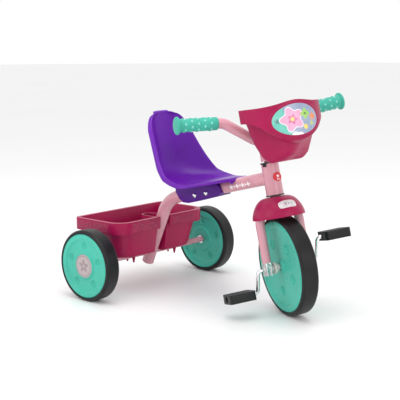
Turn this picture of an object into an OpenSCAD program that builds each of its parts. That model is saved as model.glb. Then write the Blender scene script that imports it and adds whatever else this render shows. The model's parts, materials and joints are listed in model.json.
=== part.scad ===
// Children's tricycle: +X forward, +Y to the rider's left, +Z up, origin on the floor
// under the middle of the whole object. The front assembly rests part-turned to the right.

/* [Overall] */
// Distance from the rear axle forward to the front axle
wheelbase = 460; // [430:5:500]
// Width over the outer faces of the rear tyres
rear_width = 481; // [450:1:530]
// Angle that the front assembly is turned to the rider's right at rest
steer_deg = 26; // [0:1:35]
// Angle that the steering axis leans back
head_lean_deg = 13; // [10:0.5:16]

/* [Front wheel] */
// Diameter of the front tyre
front_tyre_d = 240; // [220:2:260]
// Width of the front tyre
front_tyre_w = 42; // [34:1:46]
// Diameter of the crank axle rod
crank_rod_d = 9; // [8:0.5:12]
// Distance from the front axle to a pedal axle
crank_length = 58; // [48:1:70]
// Angle that the right crank is turned back from straight down
crank_angle = 24; // [0:1:90]

/* [Rear wheels] */
// Diameter of each rear tyre
rear_tyre_d = 182; // [164:2:200]
// Width of each rear tyre
rear_tyre_w = 41; // [34:1:46]
// Thickness of the tyre band on every wheel
tyre_t = 9; // [6:0.5:12]
// Corner radius of every tyre's tread edges
tyre_edge_r = 7; // [5:0.5:8]
// Diameter of the rear axle rod
axle_rod_d = 10; // [8:0.5:12]
// Diameter of a rear hub cap
hub_cap_d = 60; // [50:1:64]

/* [Frame] */
// Diameter of the main tube
main_tube_d = 32; // [28:1:38]
// Wall of the main tube
main_tube_wall = 1.8; // [1.2:0.1:3]
// Bend radius of the main tube's centre line
main_bend_r = 80; // [60:5:90]
// Length of the main tube past the rear axle
main_tube_tail = 31; // [28:1:40]
// Height where the main tube's two straight lines would meet
main_corner_z = 240; // [220:2:250]
// Distance from the rear axle forward to that meeting point
main_corner_x = 67; // [50:1:75]
// Diameter of the rear cross tube
cross_tube_d = 16; // [14:1:18]
// Diameter of the head tube
head_tube_d = 42; // [38:1:46]
// Length of the head tube
head_tube_len = 76; // [70:1:90]

/* [Fork and steering] */
// Diameter of the fork tube
fork_tube_d = 22; // [18:1:25]
// Distance between the centres of the two fork legs
fork_span = 104; // [98:1:112]
// Gap between the front tyre and the fork crown
crown_gap = 21; // [15:1:30]
// Diameter of the steerer tube
steerer_d = 25; // [22:1:28]
// Diameter of the stem sleeve
stem_d = 39; // [34:1:42]
// Diameter of the handlebar tube
bar_d = 25; // [20:1:28]
// Width over the ends of the two grips
bar_width = 438; // [400:2:480]
// Length of a grip
grip_len = 104; // [90:1:110]
// Diameter of a grip
grip_d = 31; // [29:0.5:36]
// Diameter of a grip's end flange
grip_flange_d = 42; // [38:1:46]

/* [Seat] */
// Height of the seat's backrest top above the floor
seat_top_z = 468; // [440:2:500]
// Largest width of the seat
seat_width = 224; // [200:2:250]
// Wall of the seat shell
seat_wall = 4; // [3:0.5:6]
// Depth of the skirt around the seat's rim
seat_skirt = 12; // [9:1:16]
// Width of the saddle bracket under the seat
bracket_w = 46; // [44:1:56]
// Diameter of a seat bolt
seat_bolt_d = 6; // [5:0.5:8]

/* [Rear basket] */
// Width of the rear basket over its rim
basket_width = 328; // [280:2:340]
// Length of the rear basket over its rim
basket_length = 176; // [150:2:190]
// Height of the rear basket's rim above the rear axle
basket_rise = 101; // [89:1:113]
// Height of the rim band
basket_band = 31; // [20:1:40]
// Wall of the rear basket
basket_wall = 3; // [2:0.2:4]
// Corner radius at the basket's front
basket_front_r = 40; // [14:1:50]
// Corner radius at the basket's back
basket_back_r = 14; // [6:1:20]
// Room beside the main tube in the channel through the basket
channel_gap = 2; // [1:0.5:8]

/* [Front basket] */
// Width of the front basket over its wings
bin_width = 200; // [180:2:220]
// Height of the front basket from its floor to its wings' tops
bin_height = 128; // [110:2:150]
// Wall of the front basket
bin_wall = 3; // [2:0.2:4]

/* [Hidden] */

$fn = 96;
run_gap = 0.05;      // radial clearance of every running fit
part_gap = 0.4;      // space left between neighbours that don't touch
weld_lip = 0.01;     // overlap that keeps joined pieces of one solid together
bend_lap = 0.5;      // length that a straight run reaches into its bend
bend_swell = 0.05;   // how much thicker a bend is than its straight runs, on the radius

// places along X, measured from the rear axle, then shifted to the middle of the object
basket_front_x = 54;
basket_back_x = basket_front_x - basket_length;
axle_lean = [sin(steer_deg) * cos(head_lean_deg), cos(steer_deg), sin(steer_deg) * sin(head_lean_deg)];
function tyre_reach(d, w, a) =
  (d / 2 - tyre_edge_r) * sqrt(1 - a * a) + (w / 2 - tyre_edge_r) * abs(a) + tyre_edge_r;
front_end_x = wheelbase + tyre_reach(front_tyre_d, front_tyre_w, axle_lean[0]);
back_end_x = min(basket_back_x, -rear_tyre_d / 2);
rear_x = -(front_end_x + back_end_x) / 2;
front_x = rear_x + wheelbase;
rear_z = rear_tyre_d / 2;
front_z = tyre_reach(front_tyre_d, front_tyre_w, axle_lean[2]);
rear_wheel_y = rear_width / 2 - rear_tyre_w / 2;

// heights along the steering axis, measured from the front axle
crown_w = front_tyre_d / 2 + crown_gap + fork_tube_d / 2;
head_low_w = crown_w + fork_tube_d / 2 + 8;
head_high_w = head_low_w + head_tube_len;
head_join_w = head_low_w + 0.55 * head_tube_len;
stem_low_w = head_high_w + 6;
bar_low_w = 304;
stem_high_w = bar_low_w - bar_d / 2 + 5;
bar_rise_w = 54;
grip_rise_w = 10;
bar_knee = 24;
bar_shoulder = 100;
bar_pts_half = [[bar_knee, bar_low_w], [bar_shoulder, bar_low_w + bar_rise_w],
  [bar_width / 2 - 4, bar_low_w + bar_rise_w + grip_rise_w]];
bar_pts = concat([for (i = [2:-1:0]) [-bar_pts_half[i][0], bar_pts_half[i][1]]], bar_pts_half);
grip_tilt = atan2(grip_rise_w, bar_width / 2 - 4 - bar_shoulder);
leg_end_w = 16;
axle_half = 78;
pedal_in = 92;
pedal_len = 67;
pedal_depth = 52;
pedal_h = 22;
// the right crank points down and the left crank up before the axle is turned
crank_pts = [[-pedal_in - pedal_len + 3, -crank_length], [-axle_half, -crank_length], [-axle_half, 0],
  [axle_half, 0], [axle_half, crank_length], [pedal_in + pedal_len - 3, crank_length]];
fork_pts = [[-fork_span / 2, leg_end_w], [-fork_span / 2, crown_w], [fork_span / 2, crown_w],
  [fork_span / 2, leg_end_w]];

// sizes of the pieces around the front axle
bracket_y = fork_span / 2 + 0.5;
bracket_thick = 15;
bracket_depth = 24;
axle_bush_d = 13;
flange_y = bracket_y - bracket_thick / 2 - 7;

// fender over the fork crown
fender_half_len = 70;
fender_half_w = 62;
fender_low_w = 117;
fender_high_w = head_low_w - 4;
badge_lean = 62;

// rear axle, its wheels and the rear basket
cross_half = rear_wheel_y - rear_tyre_w / 2 - 3;
axle_end_y = rear_width / 2 - 7;
rear_hub_d = hub_cap_d + 4;
rear_bush_d = 20;
floor_z = rear_z + 2;
basket_rim_z = rear_z + basket_rise;
basket_mid_x = basket_front_x - basket_length / 2;
basket_notch = main_tube_d / 2 + channel_gap;
channel_back_x = -main_tube_d / 2 - 6;

// front basket
bin_low_w = 245;
bin_top_w = bin_low_w + bin_height;
bin_back_u = 24;
wing_r = bin_width / 2;
wing_u = 84;
spacer_y = 31;
spacer_w = 305;

// puts children into the frame of the steering axis: X forward, Y along the axle, Z up the axis
module steering() {
  translate([front_x, 0, front_z]) rotate([0, -head_lean_deg, 0]) rotate([0, 0, -steer_deg]) children();
}
// the same frame before it is turned, for pieces that stay with the head tube
module head_frame() {
  translate([front_x, 0, front_z]) rotate([0, -head_lean_deg, 0]) children();
}
module at_rear(x, y, z) { translate([rear_x + x, y, z]) children(); }
// a round bar or hole along Y, centred on y
module y_rod(d, len, y = 0) {
  translate([0, y, 0]) rotate([90, 0, 0]) cylinder(d = d, h = len, center = true);
}
module ring(od, id, h) {
  difference() {
    cylinder(d = od, h = h);
    translate([0, 0, -1]) cylinder(d = id, h = h + 2);
  }
}

// bent round bars: pts is a flat path in X and Z, every corner is rounded with radius bend
function seg_dir(a, b) = (b - a) / norm(b - a);
function turn_deg(p, i) = let(a = seg_dir(p[i - 1], p[i]), b = seg_dir(p[i], p[i + 1]))
  atan2(a[0] * b[1] - a[1] * b[0], a[0] * b[0] + a[1] * b[1]);
function trim_len(p, i, bend) = (i == 0 || i == len(p) - 1) ? 0 : bend * tan(abs(turn_deg(p, i)) / 2);
module straight_rod(from, to, d) {
  along = seg_dir(from, to);
  translate([from[0], 0, from[1]]) rotate([0, 90 - atan2(along[1], along[0]), 0])
    cylinder(d = d, h = norm(to - from));
}
module bent_bar(pts, d, bend) {
  last = len(pts) - 1;
  for (i = [0:last - 1]) {
    along = seg_dir(pts[i], pts[i + 1]);
    from = pts[i] + along * (trim_len(pts, i, bend) - (i > 0 ? bend_lap : 0));
    to = pts[i + 1] - along * (trim_len(pts, i + 1, bend) - (i < last - 1 ? bend_lap : 0));
    straight_rod(from, to, d);
  }
  for (i = [1:last - 1]) {
    turn = turn_deg(pts, i);
    along = seg_dir(pts[i - 1], pts[i]);
    start = pts[i] - along * trim_len(pts, i, bend);
    side = sign(turn) * [-along[1], along[0]];
    hub = start + side * bend;
    first = atan2(start[1] - hub[1], start[0] - hub[0]);
    translate([hub[0], 0, hub[1]]) rotate([90, 0, 0])
      rotate([0, 0, turn > 0 ? first : first + turn])
      rotate_extrude(angle = abs(turn)) translate([bend, 0]) circle(d = d + 2 * bend_swell);
  }
}
// bores along the first and the last straight run, open at the bar's ends
module end_bores(pts, d, bend) {
  last = len(pts) - 1;
  first_way = seg_dir(pts[0], pts[1]);
  last_way = seg_dir(pts[last - 1], pts[last]);
  straight_rod(pts[0] - first_way * 5, pts[1] - first_way * trim_len(pts, 1, bend), d);
  straight_rod(pts[last - 1] + last_way * trim_len(pts, last - 1, bend), pts[last] + last_way * 5, d);
}

// ---- frame ----
rear_pt = [0, rear_z];
corner_pt = [main_corner_x, main_corner_z];
join_pt = [wheelbase - head_join_w * sin(head_lean_deg), front_z + head_join_w * cos(head_lean_deg)];
tail_pt = rear_pt - seg_dir(rear_pt, corner_pt) * main_tube_tail;
main_pts = [tail_pt, corner_pt, join_pt];
main_rise_deg = atan2(join_pt[1] - corner_pt[1], join_pt[0] - corner_pt[0]);
function main_top_at(x) = corner_pt[1] + (x - corner_pt[0]) * tan(main_rise_deg);
bolt_xs = [182, 220];
bolt_drop = 6;
decal_lead = 133;
seat_notch_gap = 0.8;

module seat_bolt_holes(d, len) {
  for (x = bolt_xs) at_rear(x, 0, main_top_at(x) - bolt_drop) y_rod(d, len);
}
module main_tube() color("lightpink") difference() {
  at_rear(0, 0, 0) bent_bar(main_pts, main_tube_d, main_bend_r);
  at_rear(0, 0, 0) end_bores(main_pts, main_tube_d - 2 * main_tube_wall, main_bend_r);
  head_frame() translate([0, 0, head_low_w - 40]) cylinder(d = head_tube_d, h = head_tube_len + 80);
  at_rear(0, 0, rear_z) y_rod(cross_tube_d, main_tube_d + 20);
  seat_bolt_holes(seat_bolt_d, main_tube_d + 20);
}
module main_tube_cap() color("pink") {
  tail_lean = 90 - atan2(corner_pt[1] - rear_z, corner_pt[0]);
  at_rear(tail_pt[0], 0, tail_pt[1]) rotate([0, tail_lean, 0]) {
    translate([0, 0, -2]) cylinder(d = main_tube_d, h = 2);
    cylinder(d = main_tube_d - 2 * main_tube_wall, h = 8);
  }
}
module head_tube() color("lightpink") head_frame() translate([0, 0, head_low_w])
  ring(head_tube_d, head_tube_d - 4, head_tube_len);
module rear_cross_tube() color("lightpink") at_rear(0, 0, rear_z) difference() {
  y_rod(cross_tube_d, 2 * cross_half);
  y_rod(axle_rod_d, 2 * cross_half + 2);
}
module rear_axle() color("silver") at_rear(0, 0, rear_z) y_rod(axle_rod_d, 2 * axle_end_y);
module axle_washers() color("silver") for (s = [-1, 1])
  at_rear(0, s * (cross_half + 0.75), rear_z) difference() {
    y_rod(22, 1.5);
    y_rod(axle_rod_d, 4);
  }
module axle_push_nuts() color("silver") for (s = [-1, 1])
  at_rear(0, s * (axle_end_y - 2.5), rear_z) difference() {
    y_rod(18, 3);
    y_rod(axle_rod_d, 5);
  }
module head_bush(up) {
  flip = up ? 1 : -1;
  translate([0, 0, up ? head_high_w : head_low_w]) scale_z(flip) difference() {
    union() {
      cylinder(d = head_tube_d + 3, h = 3);
      translate([0, 0, -14]) cylinder(d = head_tube_d - 4, h = 14 + weld_lip);
    }
    translate([0, 0, -20]) cylinder(d = steerer_d + 2 * run_gap, h = 40);
  }
}
module scale_z(flip) { if (flip > 0) children(); else mirror([0, 0, 1]) children(); }
module lower_head_bush() color("black") head_frame() head_bush(false);
module upper_head_bush() color("black") head_frame() union() {
  head_bush(true);
  // small stop tab on the right-hand side of the flange
  translate([-3, -head_tube_d / 2 - 3, head_high_w - 7]) cube([9, 3, 8]);
}
module head_badge() color("red") head_frame() difference() {
  rotate([0, 0, -14]) translate([head_tube_d / 2 - 4, 0, head_low_w + 0.55 * head_tube_len])
    rotate([0, 90, 0]) cylinder(d = 22, h = 4.8);
  translate([0, 0, head_low_w]) cylinder(d = head_tube_d, h = head_tube_len);
}
module tube_decal() color("violet") {
  // a thin sleeve segment on the rider's right of the main tube
  at_rear(main_corner_x, 0, main_corner_z) rotate([0, -main_rise_deg, 0])
    translate([norm(join_pt - corner_pt) - decal_lead, 0, 0]) rotate([90, 0, 90]) rotate([0, 0, 150])
    rotate_extrude(angle = 80) translate([main_tube_d / 2, 0]) square([0.5, 84]);
}

// ---- wheels, each modelled around Z and laid down along Y ----
module wheel_rim(d, w, bore, hub_d, pockets, pocket_d, pocket_r) {
  face = w / 2;
  dish = 4;
  lip = 12;
  rim_r = d / 2;
  void_h = face - dish - 9;
  difference() {
    rotate_extrude() difference() {
      polygon([[bore / 2, -face], [hub_d / 2, -face], [hub_d / 2 + 3, -face + dish],
        [rim_r - lip - 3, -face + dish], [rim_r - lip, -face], [rim_r, -face], [rim_r, face],
        [rim_r - lip, face], [rim_r - lip - 3, face - dish], [hub_d / 2 + 3, face - dish],
        [hub_d / 2, face], [bore / 2, face]]);
      translate([hub_d / 2 + 4, -void_h]) square([rim_r - hub_d / 2 - 12, 2 * void_h]);
    }
    for (i = [0:pockets - 1], s = [-1, 1]) rotate([0, 0, i * 360 / pockets + 90])
      translate([pocket_r, 0, s * (face - dish)]) cylinder(d = pocket_d, h = 10, center = true);
  }
}
module tyre(d, w) rotate_extrude() {
  inner = d / 2 - tyre_t;
  face = w / 2;
  union() {
    translate([inner, -face]) square([tyre_t - tyre_edge_r, w]);
    translate([inner, -face + tyre_edge_r]) square([tyre_t, w - 2 * tyre_edge_r]);
    for (s = [-1, 1]) intersection() {
      translate([d / 2 - tyre_edge_r, s * (face - tyre_edge_r)]) circle(r = tyre_edge_r, $fn = 64);
      translate([inner, s > 0 ? 0 : -face]) square([tyre_t, face]);
    }
  }
}
module rear_side(s) { at_rear(0, s * rear_wheel_y, rear_z) rotate([-90 * s, 0, 0]) children(); }
module rear_rim(s) rear_side(s) difference() {
  wheel_rim(rear_tyre_d - 2 * tyre_t, rear_tyre_w, rear_bush_d, rear_hub_d, 5, 16, 52);
  translate([0, 0, rear_tyre_w / 2 - 9]) cylinder(d = hub_cap_d - 6, h = 10);
  translate([0, 0, rear_tyre_w / 2 - 1.5]) cylinder(d = hub_cap_d, h = 2);
}
module rear_rim_right() color("turquoise") rear_rim(-1);
module rear_rim_left() color("turquoise") rear_rim(1);
module rear_tyre_right() color("black") rear_side(-1) tyre(rear_tyre_d, rear_tyre_w);
module rear_tyre_left() color("black") rear_side(1) tyre(rear_tyre_d, rear_tyre_w);
module rear_bush(s) rear_side(s) translate([0, 0, -rear_tyre_w / 2])
  ring(rear_bush_d, axle_rod_d + 2 * run_gap, rear_tyre_w - 12);
module rear_bush_right() color("white") rear_bush(-1);
module rear_bush_left() color("white") rear_bush(1);
// the cap closes the hub's outer recess and is hollow over the axle's end
module hub_cap(s) rear_side(s) translate([0, 0, rear_tyre_w / 2]) difference() {
  union() {
    translate([0, 0, -1.5]) cylinder(d = hub_cap_d, h = 1.5);
    translate([0, 0, -9]) cylinder(d = hub_cap_d - 6, h = 7.5 + weld_lip);
  }
  translate([0, 0, -10]) cylinder(d = hub_cap_d - 12, h = 8.5);
}
module hub_cap_right() color("mistyrose") hub_cap(-1);
module hub_cap_left() color("mistyrose") hub_cap(1);

// ---- front wheel and cranks ----
module front_axle_turn() { steering() rotate([0, crank_angle, 0]) children(); }
module front_rim() color("turquoise") front_axle_turn() rotate([90, 0, 0])
  wheel_rim(front_tyre_d - 2 * tyre_t, front_tyre_w, crank_rod_d, 30, 5, 22, 54);
module front_tyre() color("black") front_axle_turn() rotate([90, 0, 0]) tyre(front_tyre_d, front_tyre_w);
module crank_axle() color("silver") front_axle_turn() rotate([0, 0, 90])
  bent_bar(crank_pts, crank_rod_d, 10);
module hub_washers() color("silver") for (s = [-1, 1])
  steering() difference() {
    y_rod(18, 2, s * (front_tyre_w / 2 + 1));
    y_rod(crank_rod_d, 2 * front_tyre_w);
  }
module pedal_place(s) {
  front_axle_turn() translate([0, s * (pedal_in + pedal_len / 2), s * crank_length]) children();
}
module pedal_shape(s) rotate([0, -crank_angle, 0]) difference() {
  intersection() {
    cube([pedal_depth, pedal_len, pedal_h], center = true);
    translate([0, 0, -pedal_h / 2]) linear_extrude(pedal_h) offset(r = 8, $fn = 32)
      square([pedal_depth - 16, pedal_len - 16], center = true);
  }
  // tread slots across the top and bottom
  for (x = [-2:2], f = [-1, 1]) if (x != 0 || f != 0)
    translate([x * 9, 0, f * pedal_h / 2]) cube([3.5, pedal_len - 18, 3], center = true);
  y_rod(crank_rod_d + 2 * run_gap, pedal_len + 2);
  // pocket for the push nut at the outer end
  y_rod(15, 14, s * pedal_len / 2);
}
module pedal_right() color("black") pedal_place(-1) pedal_shape(-1);
module pedal_left() color("black") pedal_place(1) pedal_shape(1);
module pedal_nuts() color("silver") for (s = [-1, 1]) pedal_place(s) difference() {
  y_rod(12.5, 3, s * (pedal_len / 2 - 5));
  y_rod(crank_rod_d, 40, s * pedal_len / 2);
}

// ---- fork and its pieces ----
module fork() color("lightpink") steering() difference() {
  rotate([0, 0, 90]) bent_bar(fork_pts, fork_tube_d, fork_span / 2 - 3);
  for (s = [-1, 1]) translate([0, s * fork_span / 2, leg_end_w - 1]) cylinder(d = 14, h = 30);
  translate([0, 0, crown_w]) cylinder(d = steerer_d, h = 40);
}
module steerer() color("pink") steering() difference() {
  translate([0, 0, crown_w]) ring(steerer_d, steerer_d - 4, stem_high_w - crown_w - 6);
  translate([0, 0, stem_low_w + 16]) rotate([0, -90, 0]) cylinder(d = 6, h = 40);
}
// clamp bracket: a plug inside the leg's end over a block that carries the axle bush
module fork_bracket(s) steering() difference() {
  union() {
    translate([-bracket_depth / 2, s * bracket_y - bracket_thick / 2, -15])
      cube([bracket_depth, bracket_thick, 15 + leg_end_w]);
    translate([0, s * fork_span / 2, leg_end_w - 1]) cylinder(d = 14, h = 20);
  }
  y_rod(axle_bush_d, 60, s * bracket_y);
  // pressed channel across the front and the back face
  for (f = [-1, 1]) translate([f * bracket_depth / 2, s * bracket_y, 0]) cube([5, 7, 60], center = true);
}
module fork_bracket_right() color("lightgray") fork_bracket(-1);
module fork_bracket_left() color("lightgray") fork_bracket(1);
module bracket_screws() color("silver") steering() for (s = [-1, 1])
  translate([bracket_depth / 2 - 2.5, s * bracket_y, leg_end_w - 6])
    rotate([0, 90, 0]) cylinder(d = 7, h = 4);
// plastic bush through the bracket with a wide flange towards the wheel
module axle_bush(s) steering() difference() {
  union() {
    y_rod(axle_bush_d, bracket_thick + 9, s * (bracket_y - 2.5));
    y_rod(28, 5, s * (flange_y - 2.5));
    y_rod(20, 7, s * (flange_y - 8.4));
  }
  y_rod(crank_rod_d + 2 * run_gap, 200);
}
module axle_bush_right() color("whitesmoke") axle_bush(-1);
module axle_bush_left() color("whitesmoke") axle_bush(1);

// ---- fender: a domed cap over the fork crown ----
module fender_dome(inset) hull() {
  translate([0, 0, fender_high_w - 3 - inset]) cylinder(d = 52 - 2 * inset, h = 3, $fn = 32);
  translate([0, 0, fender_high_w - 18 - inset]) scale([1, 0.9, 1]) cylinder(r = 58 - inset, h = 1, $fn = 32);
  translate([0, 0, fender_low_w - (inset > 0 ? 2 : 0)]) intersection() {
    scale([1, fender_half_w / fender_half_len, 1]) cylinder(r = fender_half_len - inset, h = 12, $fn = 32);
    translate([-200, -fender_half_w + inset, -1]) cube([400, 2 * (fender_half_w - inset), 14]);
  }
}
module front_fender() color("mediumvioletred") steering() difference() {
  fender_dome(0);
  fender_dome(3);
  translate([0, 0, crown_w]) cylinder(d = steerer_d + 1, h = 80);
  rotate([0, 0, 90]) bent_bar(fork_pts, fork_tube_d + 1, fork_span / 2 - 3);
}
module fender_badge() color("lavenderblush") steering() intersection() {
  difference() {
    fender_dome(-0.8);
    fender_dome(0);
  }
  translate([64, 0, 139]) rotate([0, badge_lean, 0]) scale([0.62, 1, 1])
    cylinder(d = 34, h = 12, center = true);
}

// ---- stem, handlebar and grips ----
module stem_sleeve() color("pink") steering() difference() {
  translate([0, 0, stem_low_w]) cylinder(d = stem_d, h = stem_high_w - stem_low_w);
  translate([0, 0, stem_low_w - 1]) cylinder(d = steerer_d, h = 200);
  translate([0, 0, bar_low_w]) y_rod(bar_d, 100);
  translate([0, 0, stem_low_w + 16]) rotate([0, -90, 0]) {
    cylinder(d = 6, h = 40);
    translate([0, 0, stem_d / 2 - 0.5]) cylinder(d = 11, h = 5);
  }
}
module handlebar() color("lightpink") steering() difference() {
  rotate([0, 0, 90]) bent_bar(bar_pts, bar_d, 34);
  rotate([0, 0, 90]) end_bores(bar_pts, bar_d - 4, 34);
  for (s = [-1, 1]) translate([0, s * spacer_y, spacer_w]) rotate([0, 90, 0]) cylinder(d = 5, h = 40);
}
module stem_bolt() color("black") steering() translate([0, 0, stem_low_w + 16]) rotate([0, -90, 0]) {
  translate([0, 0, steerer_d / 2 - 4]) cylinder(d = 6, h = stem_d / 2 - steerer_d / 2 + 5);
  translate([0, 0, stem_d / 2 - 0.5]) cylinder(d = 11, h = 4.5);
}
module grip(s) steering() translate([0, s * (bar_width / 2 - 4), bar_pts_half[2][1]])
  rotate([s * grip_tilt, 0, 0]) rotate([s * 90, 0, 0]) difference() {
    union() {
      cylinder(d = grip_d, h = grip_len - 4);
      translate([0, 0, -4]) cylinder(d = grip_flange_d, h = 7);
      for (k = [0:2]) translate([0, 0, 28 + k * 26]) ring(grip_d + 1.4, grip_d - 2, 3);
    }
    cylinder(d = bar_d, h = grip_len + 10);
  }
module grip_right() color("turquoise") grip(-1);
module grip_left() color("turquoise") grip(1);

// ---- front basket: a tapered bin behind a curved front with two wings ----
// plan outline of the bin at one height: grow widens it from the floor to the top
module bin_plan(grow, inset) {
  half_back = 26 + 30 * grow;
  half_front = 44 + 44 * grow;
  hull() {
    for (s = [-1, 1]) {
      translate([56 - 24 * grow, s * (half_back - 8)]) circle(r = 8 - inset, $fn = 32);
      translate([94 + 4 * grow, s * (half_front - 12)]) circle(r = 12 - inset, $fn = 32);
    }
    translate([90 + 46 * grow, 0]) circle(r = 17 + 12 * grow - inset, $fn = 32);
  }
}
// how far the bin has widened at each height, as [height, grow] rows
bin_rows = [[0, 0], [14, 0.3], [50, 0.68], [bin_height - 12, 1]];
module bin_solid(inset, low, high) hull() for (i = [0:3])
  translate([0, 0, bin_low_w + bin_rows[i][0] + (i == 0 ? low : 0) + (i == 3 ? high : 0)])
    linear_extrude(0.1) bin_plan(bin_rows[i][1], inset);
module wing_plan(r, inset) {
  difference() {
    translate([wing_u, 0]) circle(r = r - inset, $fn = 64);
    translate([-200, -200]) square([200 + wing_u + 12, 400]);
  }
}
// the curved front band, cut to its outline as seen from the front
module wing_band() intersection() {
  difference() {
    translate([0, 0, bin_top_w - 90]) linear_extrude(110) wing_plan(wing_r, 0);
    translate([0, 0, bin_top_w - 91]) linear_extrude(112) wing_plan(wing_r, bin_wall);
  }
  rotate([90, 0, 90]) linear_extrude(300) union() {
    translate([-wing_r, bin_top_w - 30]) square([2 * wing_r, 31]);
    translate([0, bin_top_w - 40]) scale([1.5, 1]) circle(r = 43, $fn = 64);
  }
}
module front_basket() color("mediumvioletred") steering() difference() {
  union() {
    bin_solid(0, 0, 0);
    wing_band();
    // ledge that joins the bin's top edge to the curved band
    translate([0, 0, bin_top_w - 15]) linear_extrude(3.1) wing_plan(wing_r, 1);
  }
  bin_solid(bin_wall, bin_wall, 1);
  for (s = [-1, 1]) translate([0, s * spacer_y, spacer_w]) rotate([0, 90, 0]) cylinder(d = 5, h = 80);
}
module basket_picture() color("slateblue") steering() intersection() {
  difference() {
    translate([0, 0, bin_top_w - 90]) linear_extrude(110) wing_plan(wing_r + 1, 0);
    translate([0, 0, bin_top_w - 91]) linear_extrude(112) wing_plan(wing_r, 0);
  }
  translate([100, 0, bin_top_w - 42]) rotate([90, 0, 90]) linear_extrude(200) scale([1.6, 1])
    circle(r = 37, $fn = 64);
}
// screws from inside the bin, through spacers, into the handlebar's front
module front_basket_screws() color("silver") steering() for (s = [-1, 1])
  translate([0, s * spacer_y, spacer_w]) rotate([0, 90, 0]) difference() {
    union() {
      translate([0, 0, 9]) cylinder(d = 5, h = 36);
      translate([0, 0, 44]) cylinder(d = 10, h = 3);
    }
  }
module basket_spacers() color("black") steering() difference() {
  for (s = [-1, 1]) translate([0, s * spacer_y, spacer_w]) rotate([0, 90, 0]) ring(11, 5, 50);
  rotate([0, 0, 90]) bent_bar(bar_pts, bar_d, 34);
  translate([-50, -60, bin_low_w]) cube([50, 120, 120]);
  bin_solid(0, 0, 0);
}

// ---- rear basket ----
module basket_corners(l, w, inset) for (s = [-1, 1]) {
  translate([basket_back_r - l / 2, s * (w / 2 - basket_back_r)])
    circle(r = basket_back_r - inset, $fn = 32);
  translate([l / 2 - basket_front_r, s * (w / 2 - basket_front_r)])
    circle(r = basket_front_r - inset, $fn = 48);
}
module tub(inset, low, high) hull() {
  translate([0, 0, floor_z + low]) linear_extrude(0.1)
    basket_corners(basket_length - 46, basket_width - 62, inset);
  translate([0, 0, basket_rim_z + high]) linear_extrude(0.1)
    basket_corners(basket_length - 14, basket_width - 14, inset);
}
module basket_channel(grow) translate([0, 0, floor_z - 20])
  linear_extrude(basket_rim_z - floor_z + 40) hull() {
    translate([channel_back_x + basket_notch, 0]) circle(r = basket_notch + grow);
    translate([basket_front_x + 40, 0]) circle(r = basket_notch + grow);
  }
module rear_basket() color("mediumvioletred") at_rear(0, 0, 0) difference() {
  union() {
    difference() {
      union() {
        translate([basket_mid_x, 0, 0]) tub(0, 0, -1);
        translate([basket_mid_x, 0, basket_rim_z - basket_band]) linear_extrude(basket_band)
          hull() basket_corners(basket_length, basket_width, 0);
      }
      translate([basket_mid_x, 0, 0]) tub(basket_wall, basket_wall, 1);
    }
    intersection() {
      basket_channel(basket_wall);
      translate([basket_mid_x, 0, 0]) tub(basket_wall / 2, basket_wall / 2, -0.1);
    }
    intersection() {
      translate([0, 0, rear_z]) y_rod(cross_tube_d + 2 * part_gap + 2 * basket_wall, basket_width - 70);
      translate([-40, -basket_width, floor_z]) cube([80, 2 * basket_width, 40]);
    }
    for (s = [-1, 1], f = [-1, 1]) translate([f * (cross_tube_d / 2 + 4), s * 77, floor_z - 9])
      cube([6, 10, 20], center = true);
  }
  basket_channel(0);
  translate([0, 0, rear_z]) y_rod(cross_tube_d + 2 * part_gap, basket_width + 40);
}

// ---- seat ----
// rows along the seat from the backrest's top to the nose: place, valley x z, rim x half z,
// skirt x z and the side that the wall's thickness lies on
seat_rows = [
  [0, 47, 468, 50, 22, 468, -5, -3, -1, 0], [1, 46, 456, 63, 46, 461, -7, -5, -1, 0],
  [2, 48, 432, 77, 66, 429, -8, -7, -1, 0], [3, 50, 411, 89, 71, 410, -8, -8, -1, 0],
  [4, 53, 385, 106, 78, 380, -8, -10, -1, 0], [5, 58, 352, 125, 87, 349, -7, -12, -1, -0.1],
  [6, 66, 326, 147, 95, 322, -4, -13, -0.9, -0.5], [7, 84, 305, 163, 99, 313, 0, -12, -0.6, -0.8],
  [8, 110, 296, 184, 103, 307, 0, -11, -0.2, -1], [9, 150, 296, 208, 104, 303, 0, -10, 0, -1],
  [10, 200, 301, 234, 98, 302, 0, -10, 0, -1], [11, 240, 306, 257, 83, 303, 0, -11, 0, -1],
  [12, 268, 309, 276, 66, 305, 0, -12, 0, -1], [13, 289, 309, 292, 45, 306, 0, -12, 0, -1],
  [14, 303, 307, 304, 22, 305, 0, -10, 0, -1]];
function seat_key(q, c) = lookup(q, [for (r = seat_rows) [r[0], r[c]]]);
function seat_val(q, c) = let(w = min(0.8, q, 14 - q))
  (seat_key(q - w, c) + seat_key(q - w / 2, c) + seat_key(q, c)
    + seat_key(q + w / 2, c) + seat_key(q + w, c)) / 5;
seat_base_z = 296;
function seat_z(z) = z < seat_base_z ? z
  : seat_base_z + (z - seat_base_z) * (seat_top_z - seat_base_z) / 172;
function valley(q) = [seat_val(q, 1), seat_z(seat_val(q, 2))];
function rim(q) = [seat_val(q, 3), seat_z(seat_val(q, 5))];
function seat_half(q) = (seat_width / 2 - 8) / 104 * seat_val(q, 4);
function skirt_way(q) = seat_skirt / 12 * [seat_val(q, 6), seat_val(q, 7)];
function wall_way(q) = [seat_val(q, 8), seat_val(q, 9)];
stations = 32;
cross = 10;
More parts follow.
